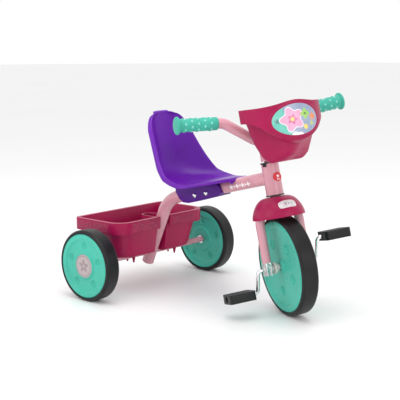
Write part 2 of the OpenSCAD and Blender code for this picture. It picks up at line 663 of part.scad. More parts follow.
// a point of the skin: t runs from 0 at the valley to 1 at the rim, then to 2 at the skirt's edge
function skin(q, t, in) = let(v = valley(q), r = rim(q), half = seat_half(q), a = 90 * max(0, t - 1))
  t <= 1 ? concat(v + (r - v) * pow(t, 2.6) + wall_way(q) * in, half * t + in * 0.5 * t * t)
  : concat(r + skirt_way(q) * (1 - cos(a)) + wall_way(q) * in * cos(a),
      half + 8 * sin(a) + in * 0.5 * cos(a) - in * sin(a));
function skin_pt(q, k, in) = let(p = skin(q, 2 * abs(k) / cross, in)) [p[0], sign(k) * p[2], p[1]];
module seat_solid() {
  row = 2 * cross + 1;
  outer = [for (i = [0:stations]) for (k = [-cross:cross]) skin_pt(i * 14 / stations, k, 0)];
  inner = [for (i = [0:stations]) for (k = [-cross:cross]) skin_pt(i * 14 / stations, k, seat_wall)];
  n = (stations + 1) * row;
  function id(i, k) = i * row + k;
  top = [for (i = [0:stations - 1]) for (k = [0:row - 2])
    [id(i, k), id(i + 1, k), id(i + 1, k + 1), id(i, k + 1)]];
  low = [for (f = top) [n + f[3], n + f[2], n + f[1], n + f[0]]];
  sides = [for (i = [0:stations - 1]) each [
    [id(i, 0), n + id(i, 0), n + id(i + 1, 0), id(i + 1, 0)],
    [id(i, row - 1), id(i + 1, row - 1), n + id(i + 1, row - 1), n + id(i, row - 1)]]];
  ends = [for (k = [0:row - 2]) each [
    [id(0, k), id(0, k + 1), n + id(0, k + 1), n + id(0, k)],
    [id(stations, k), n + id(stations, k), n + id(stations, k + 1), id(stations, k + 1)]]];
  polyhedron(points = concat(outer, inner), faces = concat(top, low, sides, ends), convexity = 6);
}
module seat_shell() color("purple") at_rear(0, 0, 0) difference() {
  seat_solid();
  // notch in the nose where the main tube passes under and through it
  straight_rod(main_pts[1], main_pts[2], main_tube_d + 2 * seat_notch_gap);
}
bracket_top = [for (q = [8:0.5:11.5]) valley(q) + (seat_wall + part_gap) * wall_way(q)];
bracket_low = [[266, 291], [268, 279], [261, 270], [194, 251], [160, 241], [142, 241],
  [128, 249], [116, 265]];
module seat_bracket() color("purple") difference() {
  at_rear(0, 0, 0) rotate([90, 0, 0]) linear_extrude(bracket_w, center = true)
    polygon(concat(bracket_top, bracket_low));
  at_rear(0, 0, 0) bent_bar(main_pts, main_tube_d, main_bend_r);
  seat_bolt_holes(seat_bolt_d, bracket_w + 10);
}
module seat_bolts() color("silver") for (x = bolt_xs) at_rear(x, 0, main_top_at(x) - bolt_drop) {
  y_rod(seat_bolt_d, bracket_w + 12, 3);
  y_rod(12, 4, -bracket_w / 2 - 2);
}
module seat_nuts() color("silver") for (x = bolt_xs) at_rear(x, 0, main_top_at(x) - bolt_drop)
  difference() {
    y_rod(12, 6, bracket_w / 2 + 3);
    y_rod(seat_bolt_d, bracket_w + 40);
  }

main_tube();
head_tube();
rear_cross_tube();
main_tube_cap();
rear_axle();
axle_push_nuts();
axle_washers();
lower_head_bush();
upper_head_bush();
head_badge();
tube_decal();
seat_shell();
seat_bracket();
seat_bolts();
seat_nuts();
rear_basket();
rear_rim_right();
rear_tyre_right();
rear_bush_right();
hub_cap_right();
rear_rim_left();
rear_tyre_left();
rear_bush_left();
hub_cap_left();
fork();
steerer();
front_fender();
fender_badge();
fork_bracket_right();
fork_bracket_left();
bracket_screws();
axle_bush_right();
axle_bush_left();
stem_sleeve();
handlebar();
stem_bolt();
grip_right();
grip_left();
front_basket();
basket_picture();
front_basket_screws();
basket_spacers();
front_rim();
front_tyre();
crank_axle();
hub_washers();
pedal_right();
pedal_left();
pedal_nuts();
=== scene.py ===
# %% [markdown]
# # A children's tricycle, from its measured frame to its finished look
# The measured model gives every piece its size, its place and the way it moves. This lesson
# keeps the pieces whose shape is already right, such as bent tubes, and gives them paint.
# The moulded and rubbery pieces have softer forms, so they are modelled again here, each one
# at the place of the measured piece that it stands for.

# %% Load the measured frame
import bpy
import math
from mathutils import Matrix, Vector
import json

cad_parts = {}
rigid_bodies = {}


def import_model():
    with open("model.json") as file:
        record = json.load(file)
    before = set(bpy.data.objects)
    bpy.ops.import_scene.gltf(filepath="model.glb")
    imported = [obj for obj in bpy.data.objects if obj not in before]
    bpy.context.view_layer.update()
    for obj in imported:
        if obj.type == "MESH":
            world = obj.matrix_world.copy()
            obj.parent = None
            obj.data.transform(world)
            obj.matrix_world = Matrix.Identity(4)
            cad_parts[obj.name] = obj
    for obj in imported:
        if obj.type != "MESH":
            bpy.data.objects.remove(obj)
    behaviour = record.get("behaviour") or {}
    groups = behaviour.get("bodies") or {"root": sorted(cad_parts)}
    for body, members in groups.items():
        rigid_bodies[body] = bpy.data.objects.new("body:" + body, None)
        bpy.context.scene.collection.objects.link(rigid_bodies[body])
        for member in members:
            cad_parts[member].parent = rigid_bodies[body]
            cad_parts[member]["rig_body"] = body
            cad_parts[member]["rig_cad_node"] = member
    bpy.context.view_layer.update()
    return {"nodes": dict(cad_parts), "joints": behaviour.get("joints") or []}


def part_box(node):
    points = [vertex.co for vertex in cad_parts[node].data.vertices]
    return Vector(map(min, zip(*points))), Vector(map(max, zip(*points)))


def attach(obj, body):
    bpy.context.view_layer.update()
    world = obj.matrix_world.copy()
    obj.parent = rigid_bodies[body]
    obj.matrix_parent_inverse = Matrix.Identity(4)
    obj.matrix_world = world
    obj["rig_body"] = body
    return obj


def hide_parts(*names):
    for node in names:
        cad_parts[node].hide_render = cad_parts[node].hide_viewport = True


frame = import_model()
print("measured pieces:", len(frame["nodes"]))

# %% [markdown]
# Every size below is in millimetres, as on a workshop drawing, and each finished piece is
# turned into metres at the end. Two local frames make the work easy: one at the rear axle,
# and one along the leaning, part-turned steering axis. The rear one comes from the rear tyre's
# place and the steering one from the joints, so a piece drawn straight lands on the turned
# front assembly by itself.

# %% Local frames
MM = 0.001


def middle(node):
    low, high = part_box(node)
    return (low + high) / 2


joints = {j["name"]: j for j in frame["joints"]}
rear_x = middle("rear_tyre_right").x
rear_z = middle("rear_tyre_right").z
wheel_y = abs(middle("rear_tyre_right").y)
axle_way = Vector(joints["front_wheel_spin"]["axis"]).normalized()
steer_way = Vector(joints["steering_turn"]["axis"]).normalized()
ahead_way = axle_way.cross(steer_way)
front_axle = Vector(joints["front_wheel_spin"]["pos_m"])


def from_axes(x, y, z, origin):
    turn = Matrix((x, y, z)).transposed().to_4x4()
    return Matrix.Translation(origin) @ turn @ Matrix.Scale(MM, 4)


AT_REAR = Matrix.Translation((rear_x, 0, 0)) @ Matrix.Scale(MM, 4)
AT_STEER = from_axes(ahead_way, axle_way, steer_way, front_axle)
print("rear axle at x", round(rear_x, 4), "front axle at", [round(c, 4) for c in front_axle])

# %% [markdown]
# The camera stands to the front right, a little above the seat, with a long lens, which
# keeps the wheels nearly true ellipses. It is aimed by three directions: right, up and
# forward.

# %% Camera
CAMERA_PLACE = Vector((rear_x + 1.9007, -1.8847, 0.6803))
CAMERA_RIGHT = Vector((0.7392, 0.6735, -0.0075)).normalized()
CAMERA_AHEAD = Vector((-0.6650, 0.7280, -0.1669)).normalized()
LENS = 91.467
camera_up = CAMERA_RIGHT.cross(CAMERA_AHEAD).normalized()
camera_right = CAMERA_AHEAD.cross(camera_up)
camera_data = bpy.data.cameras.new("studio_camera")
camera_data.lens = LENS
camera_data.sensor_width = 36
camera_data.clip_end = 20
camera = bpy.data.objects.new("studio_camera", camera_data)
bpy.context.scene.collection.objects.link(camera)
camera.matrix_world = Matrix.Translation(CAMERA_PLACE) @ Matrix(
    (camera_right, camera_up, -CAMERA_AHEAD)).transposed().to_4x4()
bpy.context.scene.camera = camera
print("camera", [round(c, 3) for c in camera.location])

# %% [markdown]
# ## Finishes
# A finish is a small network of nodes. Arithmetic on its wires is written as ordinary
# Python: `Wire` holds one output, and each operator adds the Math node that does the work.
# Any other node comes from `Finish.node`.

# %% Wires and finishes


class Wire:
    """One output of a finish's node network, with arithmetic."""

    def __init__(self, finish, socket):
        self.finish, self.socket = finish, socket

    def math(self, operation, *values):
        return self.finish.node("ShaderNodeMath", {"operation": operation}, dict(enumerate(values)))

    def __add__(self, other):
        return self.math("ADD", self, other)

    def __sub__(self, other):
        return self.math("SUBTRACT", self, other)

    def __mul__(self, other):
        return self.math("MULTIPLY", self, other)

    def __truediv__(self, other):
        return self.math("DIVIDE", self, other)

    def __rsub__(self, other):
        return self.math("SUBTRACT", other, self)

    __radd__ = __add__
    __rmul__ = __mul__

    def step(self, low, high):
        """0 below low, 1 above high, smooth between."""
        settings = {"interpolation_type": "SMOOTHSTEP"}
        return self.finish.node("ShaderNodeMapRange", settings,
                                {"Value": self, "From Min": low, "From Max": high})

    def power(self, exponent):
        return self.math("POWER", self, exponent)

    def most(self, other):
        return self.math("MAXIMUM", self, other)


class Finish:
    """A material with one Principled shader, built node by node."""

    def __init__(self, name, **constants):
        self.material = bpy.data.materials.new(name)
        self.material.use_nodes = True
        self.tree = self.material.node_tree
        self.shader = self.tree.nodes["Principled BSDF"]
        for socket, value in constants.items():
            self.shader.inputs[socket.replace("_", " ")].default_value = value

    def node(self, kind, settings=None, sockets=None, out=0):
        made = self.tree.nodes.new(kind)
        for name, value in (settings or {}).items():
            setattr(made, name, value)
        for key, value in (sockets or {}).items():
            if isinstance(value, Wire):
                self.tree.links.new(value.socket, made.inputs[key])
            else:
                made.inputs[key].default_value = value
        return Wire(self, made.outputs[out])

    def place(self, centre=(0, 0, 0)):
        """Object coordinates counted from a centre, in metres."""
        coords = self.node("ShaderNodeTexCoord", out="Object")
        return self.node("ShaderNodeVectorMath", {"operation": "SUBTRACT"}, {0: coords, 1: centre})

    def parts(self, vector):
        """The three numbers of a vector."""
        split = self.node("ShaderNodeSeparateXYZ", sockets={"Vector": vector})
        return [Wire(self, output) for output in split.socket.node.outputs]

    def noise(self, vector, scale, detail=2.0):
        return self.node("ShaderNodeTexNoise", sockets={"Vector": vector, "Scale": scale, "Detail": detail})

    def cells(self, vector, scale):
        return self.node("ShaderNodeTexVoronoi", sockets={"Vector": vector, "Scale": scale})

    def mix(self, factor, first, second):
        return self.node("ShaderNodeMix", {"data_type": "RGBA"}, {0: factor, 6: first, 7: second}, out=2)

    def feed(self, socket, wire):
        self.tree.links.new(wire.socket, self.shader.inputs[socket])

    def bump(self, height, strength, distance):
        made = self.node("ShaderNodeBump", sockets={"Height": height, "Strength": strength,
                                                    "Distance": distance})
        self.feed("Normal", made)


def shade(colour, factor):
    return tuple(c * factor for c in colour[:3]) + (1.0,)


print("finish helpers ready")

# %% [markdown]
# Moulded plastic is never one flat colour. Thick and thin walls let a little more or less
# light through, so the colour drifts softly over hand-wide patches, and the surface keeps
# the very fine grain of the mould, which makes its gloss uneven. `moulded` gives that to
# every plastic piece, with its own colour, gloss and grain.

# %% Plastic finishes
PLASTIC_DRIFT = 0.86


def moulded(name, colour, rough, grain=0.08):
    made = Finish(name, Roughness=rough, Specular_IOR_Level=0.3)
    place = made.place()
    wide = made.noise(place, 9.0)
    fine = made.noise(place, 1400.0, 1.0)
    patch = made.noise(place, 60.0)
    tone = wide.step(0.35, 0.68)
    made.feed("Base Color", made.mix(tone, shade(colour, PLASTIC_DRIFT), colour))
    made.feed("Roughness", rough + (patch - 0.5) * 0.16 + (fine - 0.5) * 0.06)
    made.bump(fine + patch * 1.5, grain, 0.0004)
    return made


BERRY = (0.375, 0.001, 0.068, 1)
VIOLET = (0.135, 0.006, 0.37, 1)
TEAL = (0.06, 0.50, 0.38, 1)
PINK = (0.66, 0.30, 0.36, 1)
berry = moulded("berry_moulding", BERRY, 0.34)
violet = moulded("violet_moulding", VIOLET, 0.33)
# Painted shade: the seat block under the seat takes the seat's violet darkened to 0.62.
shaded_violet = moulded("bracket_violet_painted_shade", shade(VIOLET, 0.62), 0.4)
teal = moulded("teal_moulding", TEAL, 0.30)
ink_black = moulded("black_moulding", (0.012, 0.012, 0.013, 1), 0.42, 0.2)
nylon = moulded("natural_nylon", (0.72, 0.70, 0.66, 1), 0.35)
pink_plug = moulded("pink_plug", shade(PINK, 0.92), 0.42)
print("plastic finishes made")

# %% [markdown]
# Powder paint on a steel tube flows into a soft orange peel: shallow waves a few
# millimetres wide under a clear gloss. The steel parts are of two kinds. Zinc plate is
# bright with a cloudy, patchy gloss, and the cranks have mirror plating with faint wipe
# marks.

# %% Paint and metal finishes


def painted(name, colour):
    made = Finish(name, Roughness=0.3, Coat_Weight=0.6, Coat_Roughness=0.08)
    place = made.place()
    peel = made.noise(place, 330.0, 1.0)
    wide = made.noise(place, 7.0)
    made.feed("Base Color", made.mix(wide.step(0.35, 0.7), shade(colour, 0.9), shade(colour, 1.05)))
    made.feed("Roughness", 0.27 + (wide - 0.5) * 0.12 + (peel - 0.5) * 0.05)
    made.bump(peel, 0.10, 0.0005)
    return made


def plated(name, colour, rough, cloud):
    made = Finish(name, Metallic=1.0, Roughness=rough)
    place = made.place()
    patch = made.noise(place, 190.0, 4.0)
    streak = made.noise(made.node("ShaderNodeVectorMath", {"operation": "MULTIPLY"},
                                  {0: place, 1: (900.0, 900.0, 60.0)}), 1.0)
    made.feed("Base Color", made.mix(patch.step(0.35, 0.65), shade(colour, 0.8), shade(colour, 1.0)))
    made.feed("Roughness", rough + (patch - 0.5) * cloud + (streak - 0.5) * 0.08)
    made.bump(patch, 0.05, 0.0004)
    return made


pink_paint = painted("pink_paint", PINK)
zinc = plated("zinc_plate", (0.74, 0.75, 0.76, 1), 0.26, 0.3)
mirror_plate = plated("mirror_plate", (0.86, 0.86, 0.87, 1), 0.10, 0.12)
print("paint and metal finishes made")

# %% [markdown]
# The tyres are one-piece hard foam or plastic: near-black, with a broad soft sheen along
# their shoulders, a very fine skin texture and a little dust-grey drift.

# %% Tyre finish
tyre_black = Finish("tyre_black", Roughness=0.45, Specular_IOR_Level=0.3)
tyre_place = tyre_black.place()
tyre_wide = tyre_black.noise(tyre_place, 14.0)
tyre_fine = tyre_black.noise(tyre_place, 900.0)
tyre_black.feed("Base Color", tyre_black.mix(tyre_wide.step(0.35, 0.7), (0.004, 0.004, 0.0045, 1),
                                             (0.010, 0.010, 0.011, 1)))
tyre_black.feed("Roughness", 0.40 + (tyre_wide - 0.5) * 0.18 + (tyre_fine - 0.5) * 0.1)
tyre_black.bump(tyre_fine, 0.12, 0.0004)
print("tyre finish made")

# %% [markdown]
# ## Modelling helpers
# Every piece starts as a primitive and is shaped by edit-mode operators. Two ways of shaping
# come back again and again. `lathe` pulls a single point along a profile and spins it round
# Z, as turned and round moulded parts are. `sheet` adds a grid and lays its points on a
# surface given as a function, which is how a moulded shell with double curvature is drawn.

# %% Modelling helpers


def only(piece):
    """Makes piece the only selected and the active object."""
    if bpy.context.object and bpy.context.object.mode != "OBJECT":
        bpy.ops.object.mode_set(mode="OBJECT")
    bpy.ops.object.select_all(action="DESELECT")
    piece.select_set(True)
    bpy.context.view_layer.objects.active = piece


def added(name):
    """Names the primitive that an operator has just added."""
    piece = bpy.context.object
    piece.name = piece.data.name = name
    only(piece)
    return piece


def primitive(name, add, **settings):
    """Adds a primitive with nothing else selected, and puts its place in its mesh."""
    bpy.ops.object.select_all(action="DESELECT")
    add(**settings)
    piece = added(name)
    bpy.ops.object.transform_apply(location=True, rotation=True, scale=False)
    return piece


def edited(piece, operator, **settings):
    """Runs one edit-mode operator on the whole of piece."""
    only(piece)
    bpy.ops.object.mode_set(mode="EDIT")
    bpy.ops.mesh.select_all(action="SELECT")
    operator(**settings)
    bpy.ops.object.mode_set(mode="OBJECT")
    return piece


def merged(piece, distance=0.01):
    return edited(piece, bpy.ops.mesh.remove_doubles, threshold=distance)


def lathe(name, profile, steps=64):
    """Spins a profile of (radius, height) points round Z into one surface."""
    piece = primitive(name, bpy.ops.mesh.primitive_plane_add, size=1)
    bpy.ops.object.mode_set(mode="EDIT")
    bpy.ops.mesh.select_mode(type="VERT")
    bpy.ops.mesh.select_all(action="SELECT")
    bpy.ops.mesh.merge(type="CENTER")
    bpy.ops.transform.translate(value=(profile[0][0], 0, profile[0][1]))
    for before, after in zip(profile, profile[1:]):
        move = (after[0] - before[0], 0, after[1] - before[1])
        bpy.ops.mesh.extrude_region_move(TRANSFORM_OT_translate={"value": move})
    bpy.ops.mesh.select_all(action="SELECT")
    bpy.ops.mesh.spin(steps=steps, angle=math.tau, center=(0, 0, 0), axis=(0, 0, 1))
    bpy.ops.mesh.select_all(action="SELECT")
    bpy.ops.mesh.remove_doubles(threshold=0.001)
    bpy.ops.mesh.normals_make_consistent(inside=False)
    bpy.ops.object.mode_set(mode="OBJECT")
    return piece


def sheet(name, across, along, lay):
    """A grid whose points, from -1 to 1 each way, are laid on the surface lay(x, y)."""
    piece = primitive(name, bpy.ops.mesh.primitive_grid_add, x_subdivisions=across, y_subdivisions=along,
                      size=2)
    for vertex in piece.data.vertices:
        vertex.co = lay(vertex.co.x, vertex.co.y)
    piece.data.update()
    return piece


def shaped(piece, kind, **settings):
    """Adds a modifier and applies it."""
    only(piece)
    modifier = piece.modifiers.new(kind.lower(), kind)
    for key, value in settings.items():
        setattr(modifier, key, value)
    bpy.ops.object.modifier_apply(modifier=modifier.name)
    return piece


def softened(piece, width, segments=3, angle=32):
    """Rounds every edge sharper than angle degrees."""
    return shaped(piece, "BEVEL", width=width, segments=segments, limit_method="ANGLE",
                  angle_limit=math.radians(angle), use_clamp_overlap=True)


def carved(piece, cutter, operation="DIFFERENCE"):
    """Takes cutter out of piece, or joins it, and removes the cutter."""
    shaped(piece, "BOOLEAN", operation=operation, object=cutter, solver="EXACT")
    bpy.data.objects.remove(cutter)
    return piece


def moved(piece, place):
    """Applies a 4 by 4 move, turn or scale to the mesh."""
    piece.data.transform(place)
    return piece


def joined(name, pieces):
    only(pieces[0])
    for other in pieces[1:]:
        other.select_set(True)
    bpy.ops.object.join()
    return added(name)


def twin(piece, name):
    """A copy with its own mesh."""
    copy = piece.copy()
    copy.data = piece.data.copy()
    copy.name = copy.data.name = name
    bpy.context.scene.collection.objects.link(copy)
    return copy


def done(piece, place, body, slot, finish, *stands_for, angle=35):
    moved(piece, place)
    if place.determinant() < 0:
        piece.data.flip_normals()
    only(piece)
    bpy.ops.object.shade_smooth_by_angle(angle=math.radians(angle))
    piece.data.materials.clear()
    piece.data.materials.append(finish.material)
    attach(piece, body)
    if stands_for:
        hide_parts(*stands_for)
    print(piece.name, len(piece.data.polygons), "faces")
    return piece


def lerp_rows(rows, at, column):
    """Reads a column of rows at a place between them, with smooth joins."""
    at = min(max(at, rows[0][0]), rows[-1][0])
    index = max(i for i, row in enumerate(rows[:-1]) if row[0] <= at)
    low, high = rows[index], rows[index + 1]
    t = (at - low[0]) / (high[0] - low[0])
    before = rows[max(index - 1, 0)][column]
    after = rows[min(index + 2, len(rows) - 1)][column]
    a, b = low[column], high[column]
    slope_a, slope_b = (b - before) / 2, (after - a) / 2
    return (a * (1 + 2 * t) * (1 - t) ** 2 + slope_a * t * (1 - t) ** 2
            + b * t * t * (3 - 2 * t) + slope_b * t * t * (t - 1))


print("modelling helpers ready")

# %% [markdown]
# ## Wheels
# The tyre is a hollow band with a flat tread and round shoulders. It is turned from one
# closed profile.

# %% Tyres
TYRE_WALL = 9.0
SHOULDER = 7.0


def tyre_profile(radius, width):
    half = width / 2
    points = [(radius - TYRE_WALL, -half)]
    for i in range(9):
        turn = math.radians(-90 + 90 * i / 8)
        points.append((radius - SHOULDER + SHOULDER * math.cos(turn),
                       -half + SHOULDER + SHOULDER * math.sin(turn)))
    crown = [(radius, -half / 3), (radius, half / 3)]
    mirrored = [(r, -z) for r, z in reversed(points)]
    return points + crown + mirrored + [points[0]]


tyre_low, tyre_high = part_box("rear_tyre_right")
REAR_RADIUS = round((tyre_high - tyre_low).z / MM, 3) / 2
REAR_WIDTH = round((tyre_high - tyre_low).y / MM, 3)
FRONT_RADIUS = 120.0
FRONT_WIDTH = 42.0
print("rear tyre", REAR_RADIUS, "by", REAR_WIDTH)

# %% [markdown]
# The wheel body is a blow-moulded disc. A raised ring runs round its edge, the face between
# ring and hub is dished, and round dimples stiffen it. The disc is turned, its edges are
# softened, and the dimples are pressed in with flattened balls.

# %% Wheel discs
DISH = 4.0
RING = 13.0


def disc_profile(radius, width, bore, hub, seat=0.0, seat_depth=0.0):
    """seat is the radius of a shallow recess for the hub cap on the outer side."""
    face = width / 2
    inner = [(bore, -face), (hub, -face), (hub + 4, -face + DISH)]
    groove = [(radius - RING - 4, -face + DISH), (radius - RING, -face)]
    outer = [(r, -z) for r, z in reversed(groove)] + [(hub + 4, face - DISH), (hub, face)]
    rim = [(radius - 2.2, -face), (radius, -face + 2.2), (radius, face - 2.2), (radius - 2.2, face)]
    hub_end = [(bore, face)]
    if seat:
        hub_end = [(seat, face), (seat, face - seat_depth), (bore, face - seat_depth)]
    return inner + groove + rim + outer + hub_end + [inner[0]]


def pressed_dimples(disc, count, at_radius, dimple_radius, depth, face, turn=90.0):
    ball = (dimple_radius ** 2 + depth ** 2) / (2 * depth)
    for side in (-1, 1):
        for i in range(count):
            angle = math.radians(turn + i * 360 / count)
            centre = (at_radius * math.cos(angle), at_radius * math.sin(angle), side * (face + ball - depth))
            carved(disc, primitive("dimple_ball", bpy.ops.mesh.primitive_uv_sphere_add, segments=40,
                                   ring_count=24, radius=ball, location=centre))
    return disc


def wheel_frame(centre, outward, top):
    """Local frame of a wheel: Z points out along the axle, Y towards its first dimple."""
    side = top.cross(outward)
    return from_axes(side, top, outward, centre)


UP = Vector((0, 0, 1))
LEFT = Vector((0, 1, 0))
rear_disc = lathe("rear_disc", disc_profile(REAR_RADIUS - TYRE_WALL, REAR_WIDTH, 10, 32, 30.1, 1.5), 96)
softened(rear_disc, 1.6)
pressed_dimples(rear_disc, 5, 52, 9.5, 5.0, REAR_WIDTH / 2 - DISH)
rear_band = lathe("rear_band", tyre_profile(REAR_RADIUS, REAR_WIDTH), 96)
for side_name, side in (("right", -1), ("left", 1)):
    spot = wheel_frame(Vector((rear_x, side * wheel_y, rear_z)), LEFT * side, UP)
    body = side_name + "_rear_wheel"
    done(twin(rear_disc, "wheel_disc_" + side_name), spot, body, "teal_plastic", teal,
         "rear_rim_" + side_name)
    done(twin(rear_band, "wheel_band_" + side_name), spot, body, "black_tyre", tyre_black,
         "rear_tyre_" + side_name, angle=50)
for template in (rear_disc, rear_band):
    bpy.data.objects.remove(template)

# %% Front wheel
front_spot = wheel_frame(front_axle, axle_way, steer_way)
front_disc = lathe("front_wheel_disc", disc_profile(FRONT_RADIUS - TYRE_WALL, FRONT_WIDTH, 4.5, 15), 112)
softened(front_disc, 1.8)
pressed_dimples(front_disc, 5, 60, 13, 6.5, FRONT_WIDTH / 2 - DISH, turn=66)
done(front_disc, front_spot, "front_wheel", "teal_plastic", teal, "front_rim")
front_band = lathe("front_wheel_band", tyre_profile(FRONT_RADIUS, FRONT_WIDTH), 112)
done(front_band, front_spot, "front_wheel", "black_tyre", tyre_black, "front_tyre", angle=50)

# %% [markdown]
# The hub cap is a pale printed disc with a rounded edge. Its print is a plain ring with five
# petals, drawn from distances to the cap's middle.

# %% Hub caps


def petal_print(name, centre, outward, paper, ink, radius):
    """A printed disc: a thin ring and five petals round its middle."""
    made = Finish(name, Roughness=0.38)
    x, y, z = made.parts(made.place(centre))
    across = x if abs(outward.x) < 0.5 else y
    far = (across * across + z * z).power(0.5) / radius
    angle = across.math("ARCTAN2", across, z)
    petals = angle.math("COSINE", angle * 5.0)
    edge = 0.40 + petals * 0.16
    flower = 1 - (far - edge).step(-0.03, 0.03)
    eye = 1 - far.step(0.12, 0.17)
    ring = far.step(0.80, 0.83) * (1 - far.step(0.87, 0.90))
    print_mask = (flower * (1 - eye)).most(ring)
    grain = made.noise(made.place(), 500.0)
    made.feed("Base Color", made.mix(print_mask * 0.55, paper, ink))
    made.feed("Roughness", 0.34 + (grain - 0.5) * 0.2)
    made.bump(grain * 0.2 + print_mask, 0.25, 0.0003)
    return made


CAP_PAPER = (0.44, 0.36, 0.37, 1)
CAP_INK = (0.16, 0.11, 0.13, 1)
CAP_RADIUS = 30.0
for side_name, side in (("right", -1), ("left", 1)):
    cap_face = REAR_WIDTH / 2
    cap = lathe("cap_disc_" + side_name, [(0, cap_face), (27.5, cap_face), (29.4, cap_face - 0.5),
                                          (CAP_RADIUS, cap_face - 1.5), (CAP_RADIUS - 3, cap_face - 1.5),
                                          (CAP_RADIUS - 3, cap_face - 9), (24, cap_face - 9),
                                          (24, cap_face - 3), (0, cap_face - 3)], 72)
    hub_centre = Vector((rear_x, side * wheel_y, rear_z))
    spot = wheel_frame(hub_centre, LEFT * side, UP)
    print_finish = petal_print("cap_print_" + side_name, tuple(hub_centre), LEFT, CAP_PAPER, CAP_INK,
                               CAP_RADIUS * MM)
    done(cap, spot, side_name + "_rear_wheel", "cap_print", print_finish, "hub_cap_" + side_name)

# %% [markdown]
# ## Seat
# The seat is one moulded shell: a high narrow back, a deep bucket and a short nose. Rows
# run along it from the top of the back to the nose. Each row says where the valley in the
# middle is, where the rim is, and which way the skirt below the rim turns. A grid laid on
# those rows is given its wall, and its edge is rounded.

# %% Seat shell
# place, valley x z, rim x half z, skirt x z
SEAT_ROWS = [
    (0, 46, 466, 50, 20, 466, -5, -3), (1, 46, 456, 62, 47, 459, -7, -5),
    (2, 48, 432, 76, 65, 434, -8, -7), (3, 50, 411, 89, 71, 410, -8, -8),
    (4, 53, 385, 106, 78, 380, -8, -10), (5, 58, 352, 125, 87, 349, -7, -12),
    (6, 66, 326, 147, 95, 322, -4, -13), (7, 84, 305, 163, 99, 313, 0, -12),
    (8, 110, 296, 184, 103, 307, 0, -11), (9, 150, 296, 208, 104, 303, 0, -10),
    (10, 200, 302, 234, 98, 305, 0, -9), (11, 240, 309, 257, 82, 309, 0, -8),
    (12, 268, 314, 276, 64, 313, 0, -8), (13, 289, 318, 292, 42, 316, 0, -8),
    (14, 303, 319, 303, 20, 317, 0, -8)]
SKIRT_OUT, SEAT_WALL, BUCKET_CURVE = 8.0, 4.0, 2.6
NOSE_REACH, NOSE_DROP, NOSE_NARROW = 6, 9, 0.12
TOP_BACK, TOP_RISE, TOP_NARROW = 7, 4, 0.1
BUCKET_MIDDLE = Vector((150, 0, 296))


def seat_point(across, along):
    """A point of the seat. The skirt starts half way across, and past each end the edge rolls over."""
    place = (along + 1) / 2 * len(SEAT_ROWS) - 0.5
    over = 2 * (place - min(max(place, 0.0), len(SEAT_ROWS) - 1))
    row = [lerp_rows(SEAT_ROWS, place, c) for c in range(1, 8)]
    valley, rim, half, skirt = Vector(row[0:2]), Vector((row[2], row[4])), row[3], Vector(row[5:7])
    t = abs(across) * 2
    turn = math.radians(90 * max(0.0, t - 1))
    spot = valley + (rim - valley) * min(t, 1) ** BUCKET_CURVE + skirt * (1 - math.cos(turn))
    side = half * min(t, 1) + SKIRT_OUT * math.sin(turn)
    roll = math.radians(90 * abs(over))
    if over > 0:
        spot += Vector((NOSE_REACH * math.sin(roll), -NOSE_DROP * (1 - math.cos(roll))))
        side *= 1 - NOSE_NARROW * (1 - math.cos(roll))
    elif over < 0:
        spot += Vector((-TOP_BACK * (1 - math.cos(roll)), TOP_RISE * math.sin(roll)))
        side *= 1 - TOP_NARROW * (1 - math.cos(roll))
    return Vector((spot.x, math.copysign(side, across), spot.y))


seat = sheet("seat", 56, 90, seat_point)
shaped(seat, "SMOOTH", factor=0.5, iterations=4)
edited(seat, bpy.ops.mesh.normals_make_consistent, inside=False)
middle_face = min(seat.data.polygons, key=lambda f: (f.center - BUCKET_MIDDLE).length)
if middle_face.normal.z < 0:
    seat.data.flip_normals()
shaped(seat, "SOLIDIFY", thickness=SEAT_WALL, offset=-1)
softened(seat, 1.4, 3, 50)
done(seat, AT_REAR, "frame", "violet_plastic", violet, "seat_shell", angle=60)

# %% [markdown]
# Under the seat a saddle block grips the main tube. It is a softer version of the measured
# block: the same solid with its edges rounded. Two bolts with domed heads go through it.

# %% Seat block and bolts


def rounded_copy(node, name, width, segments=3, angle=30):
    """A copy of a measured piece, merged and with its edges rounded. Width is in metres."""
    copy = twin(frame["nodes"][node], name)
    copy.parent = None
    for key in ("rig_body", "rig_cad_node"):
        if key in copy:
            del copy[key]
    merged(copy, 0.01 * MM)
    edited(copy, bpy.ops.mesh.dissolve_limited, angle_limit=math.radians(1.0))
    return softened(copy, width, segments, angle)


HERE = Matrix.Identity(4)
# The block's darker violet is painted shade for its place under the seat.
done(rounded_copy("seat_bracket", "seat_block", 0.0022), HERE, "frame", "violet_plastic", shaded_violet,
     "seat_bracket")
DOME = [(0, 4.6), (2.2, 4.4), (4.2, 3.6), (5.6, 2.2), (6.2, 0.6), (6.2, 0), (3, 0), (3, -48), (0, -48)]
bolt_low, bolt_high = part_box("seat_bolts")
HEAD_HALF, HEAD_IN = 6 * MM, 4 * MM
bolt_points = [v.co for v in frame["nodes"]["seat_bolts"].data.vertices]
bolt_parts = []
for number, x in enumerate((bolt_low.x + HEAD_HALF, bolt_high.x - HEAD_HALF)):
    level = [point.z for point in bolt_points if abs(point.x - x) < HEAD_HALF + MM]
    spot = Vector((x, bolt_low.y + HEAD_IN, (min(level) + max(level)) / 2))
    bolt = lathe("seat_bolt_%d" % number, DOME, 40)
    bolt_parts.append(moved(bolt, wheel_frame(spot, -LEFT, UP)))
done(joined("seat_bolt_pair", bolt_parts), HERE, "frame", "crank_chrome", mirror_plate, "seat_bolts")

# %% [markdown]
# ## Rear tub
# The tub is one thin moulding: a tapered box whose rim turns out and down into a deep band,
# with a channel that the main tube passes through. Its outline is a rectangle with wide
# corners in front and tight ones behind. A sheet carries that outline along a profile, from
# the floor's edge up the wall, over the ledge and down the band.

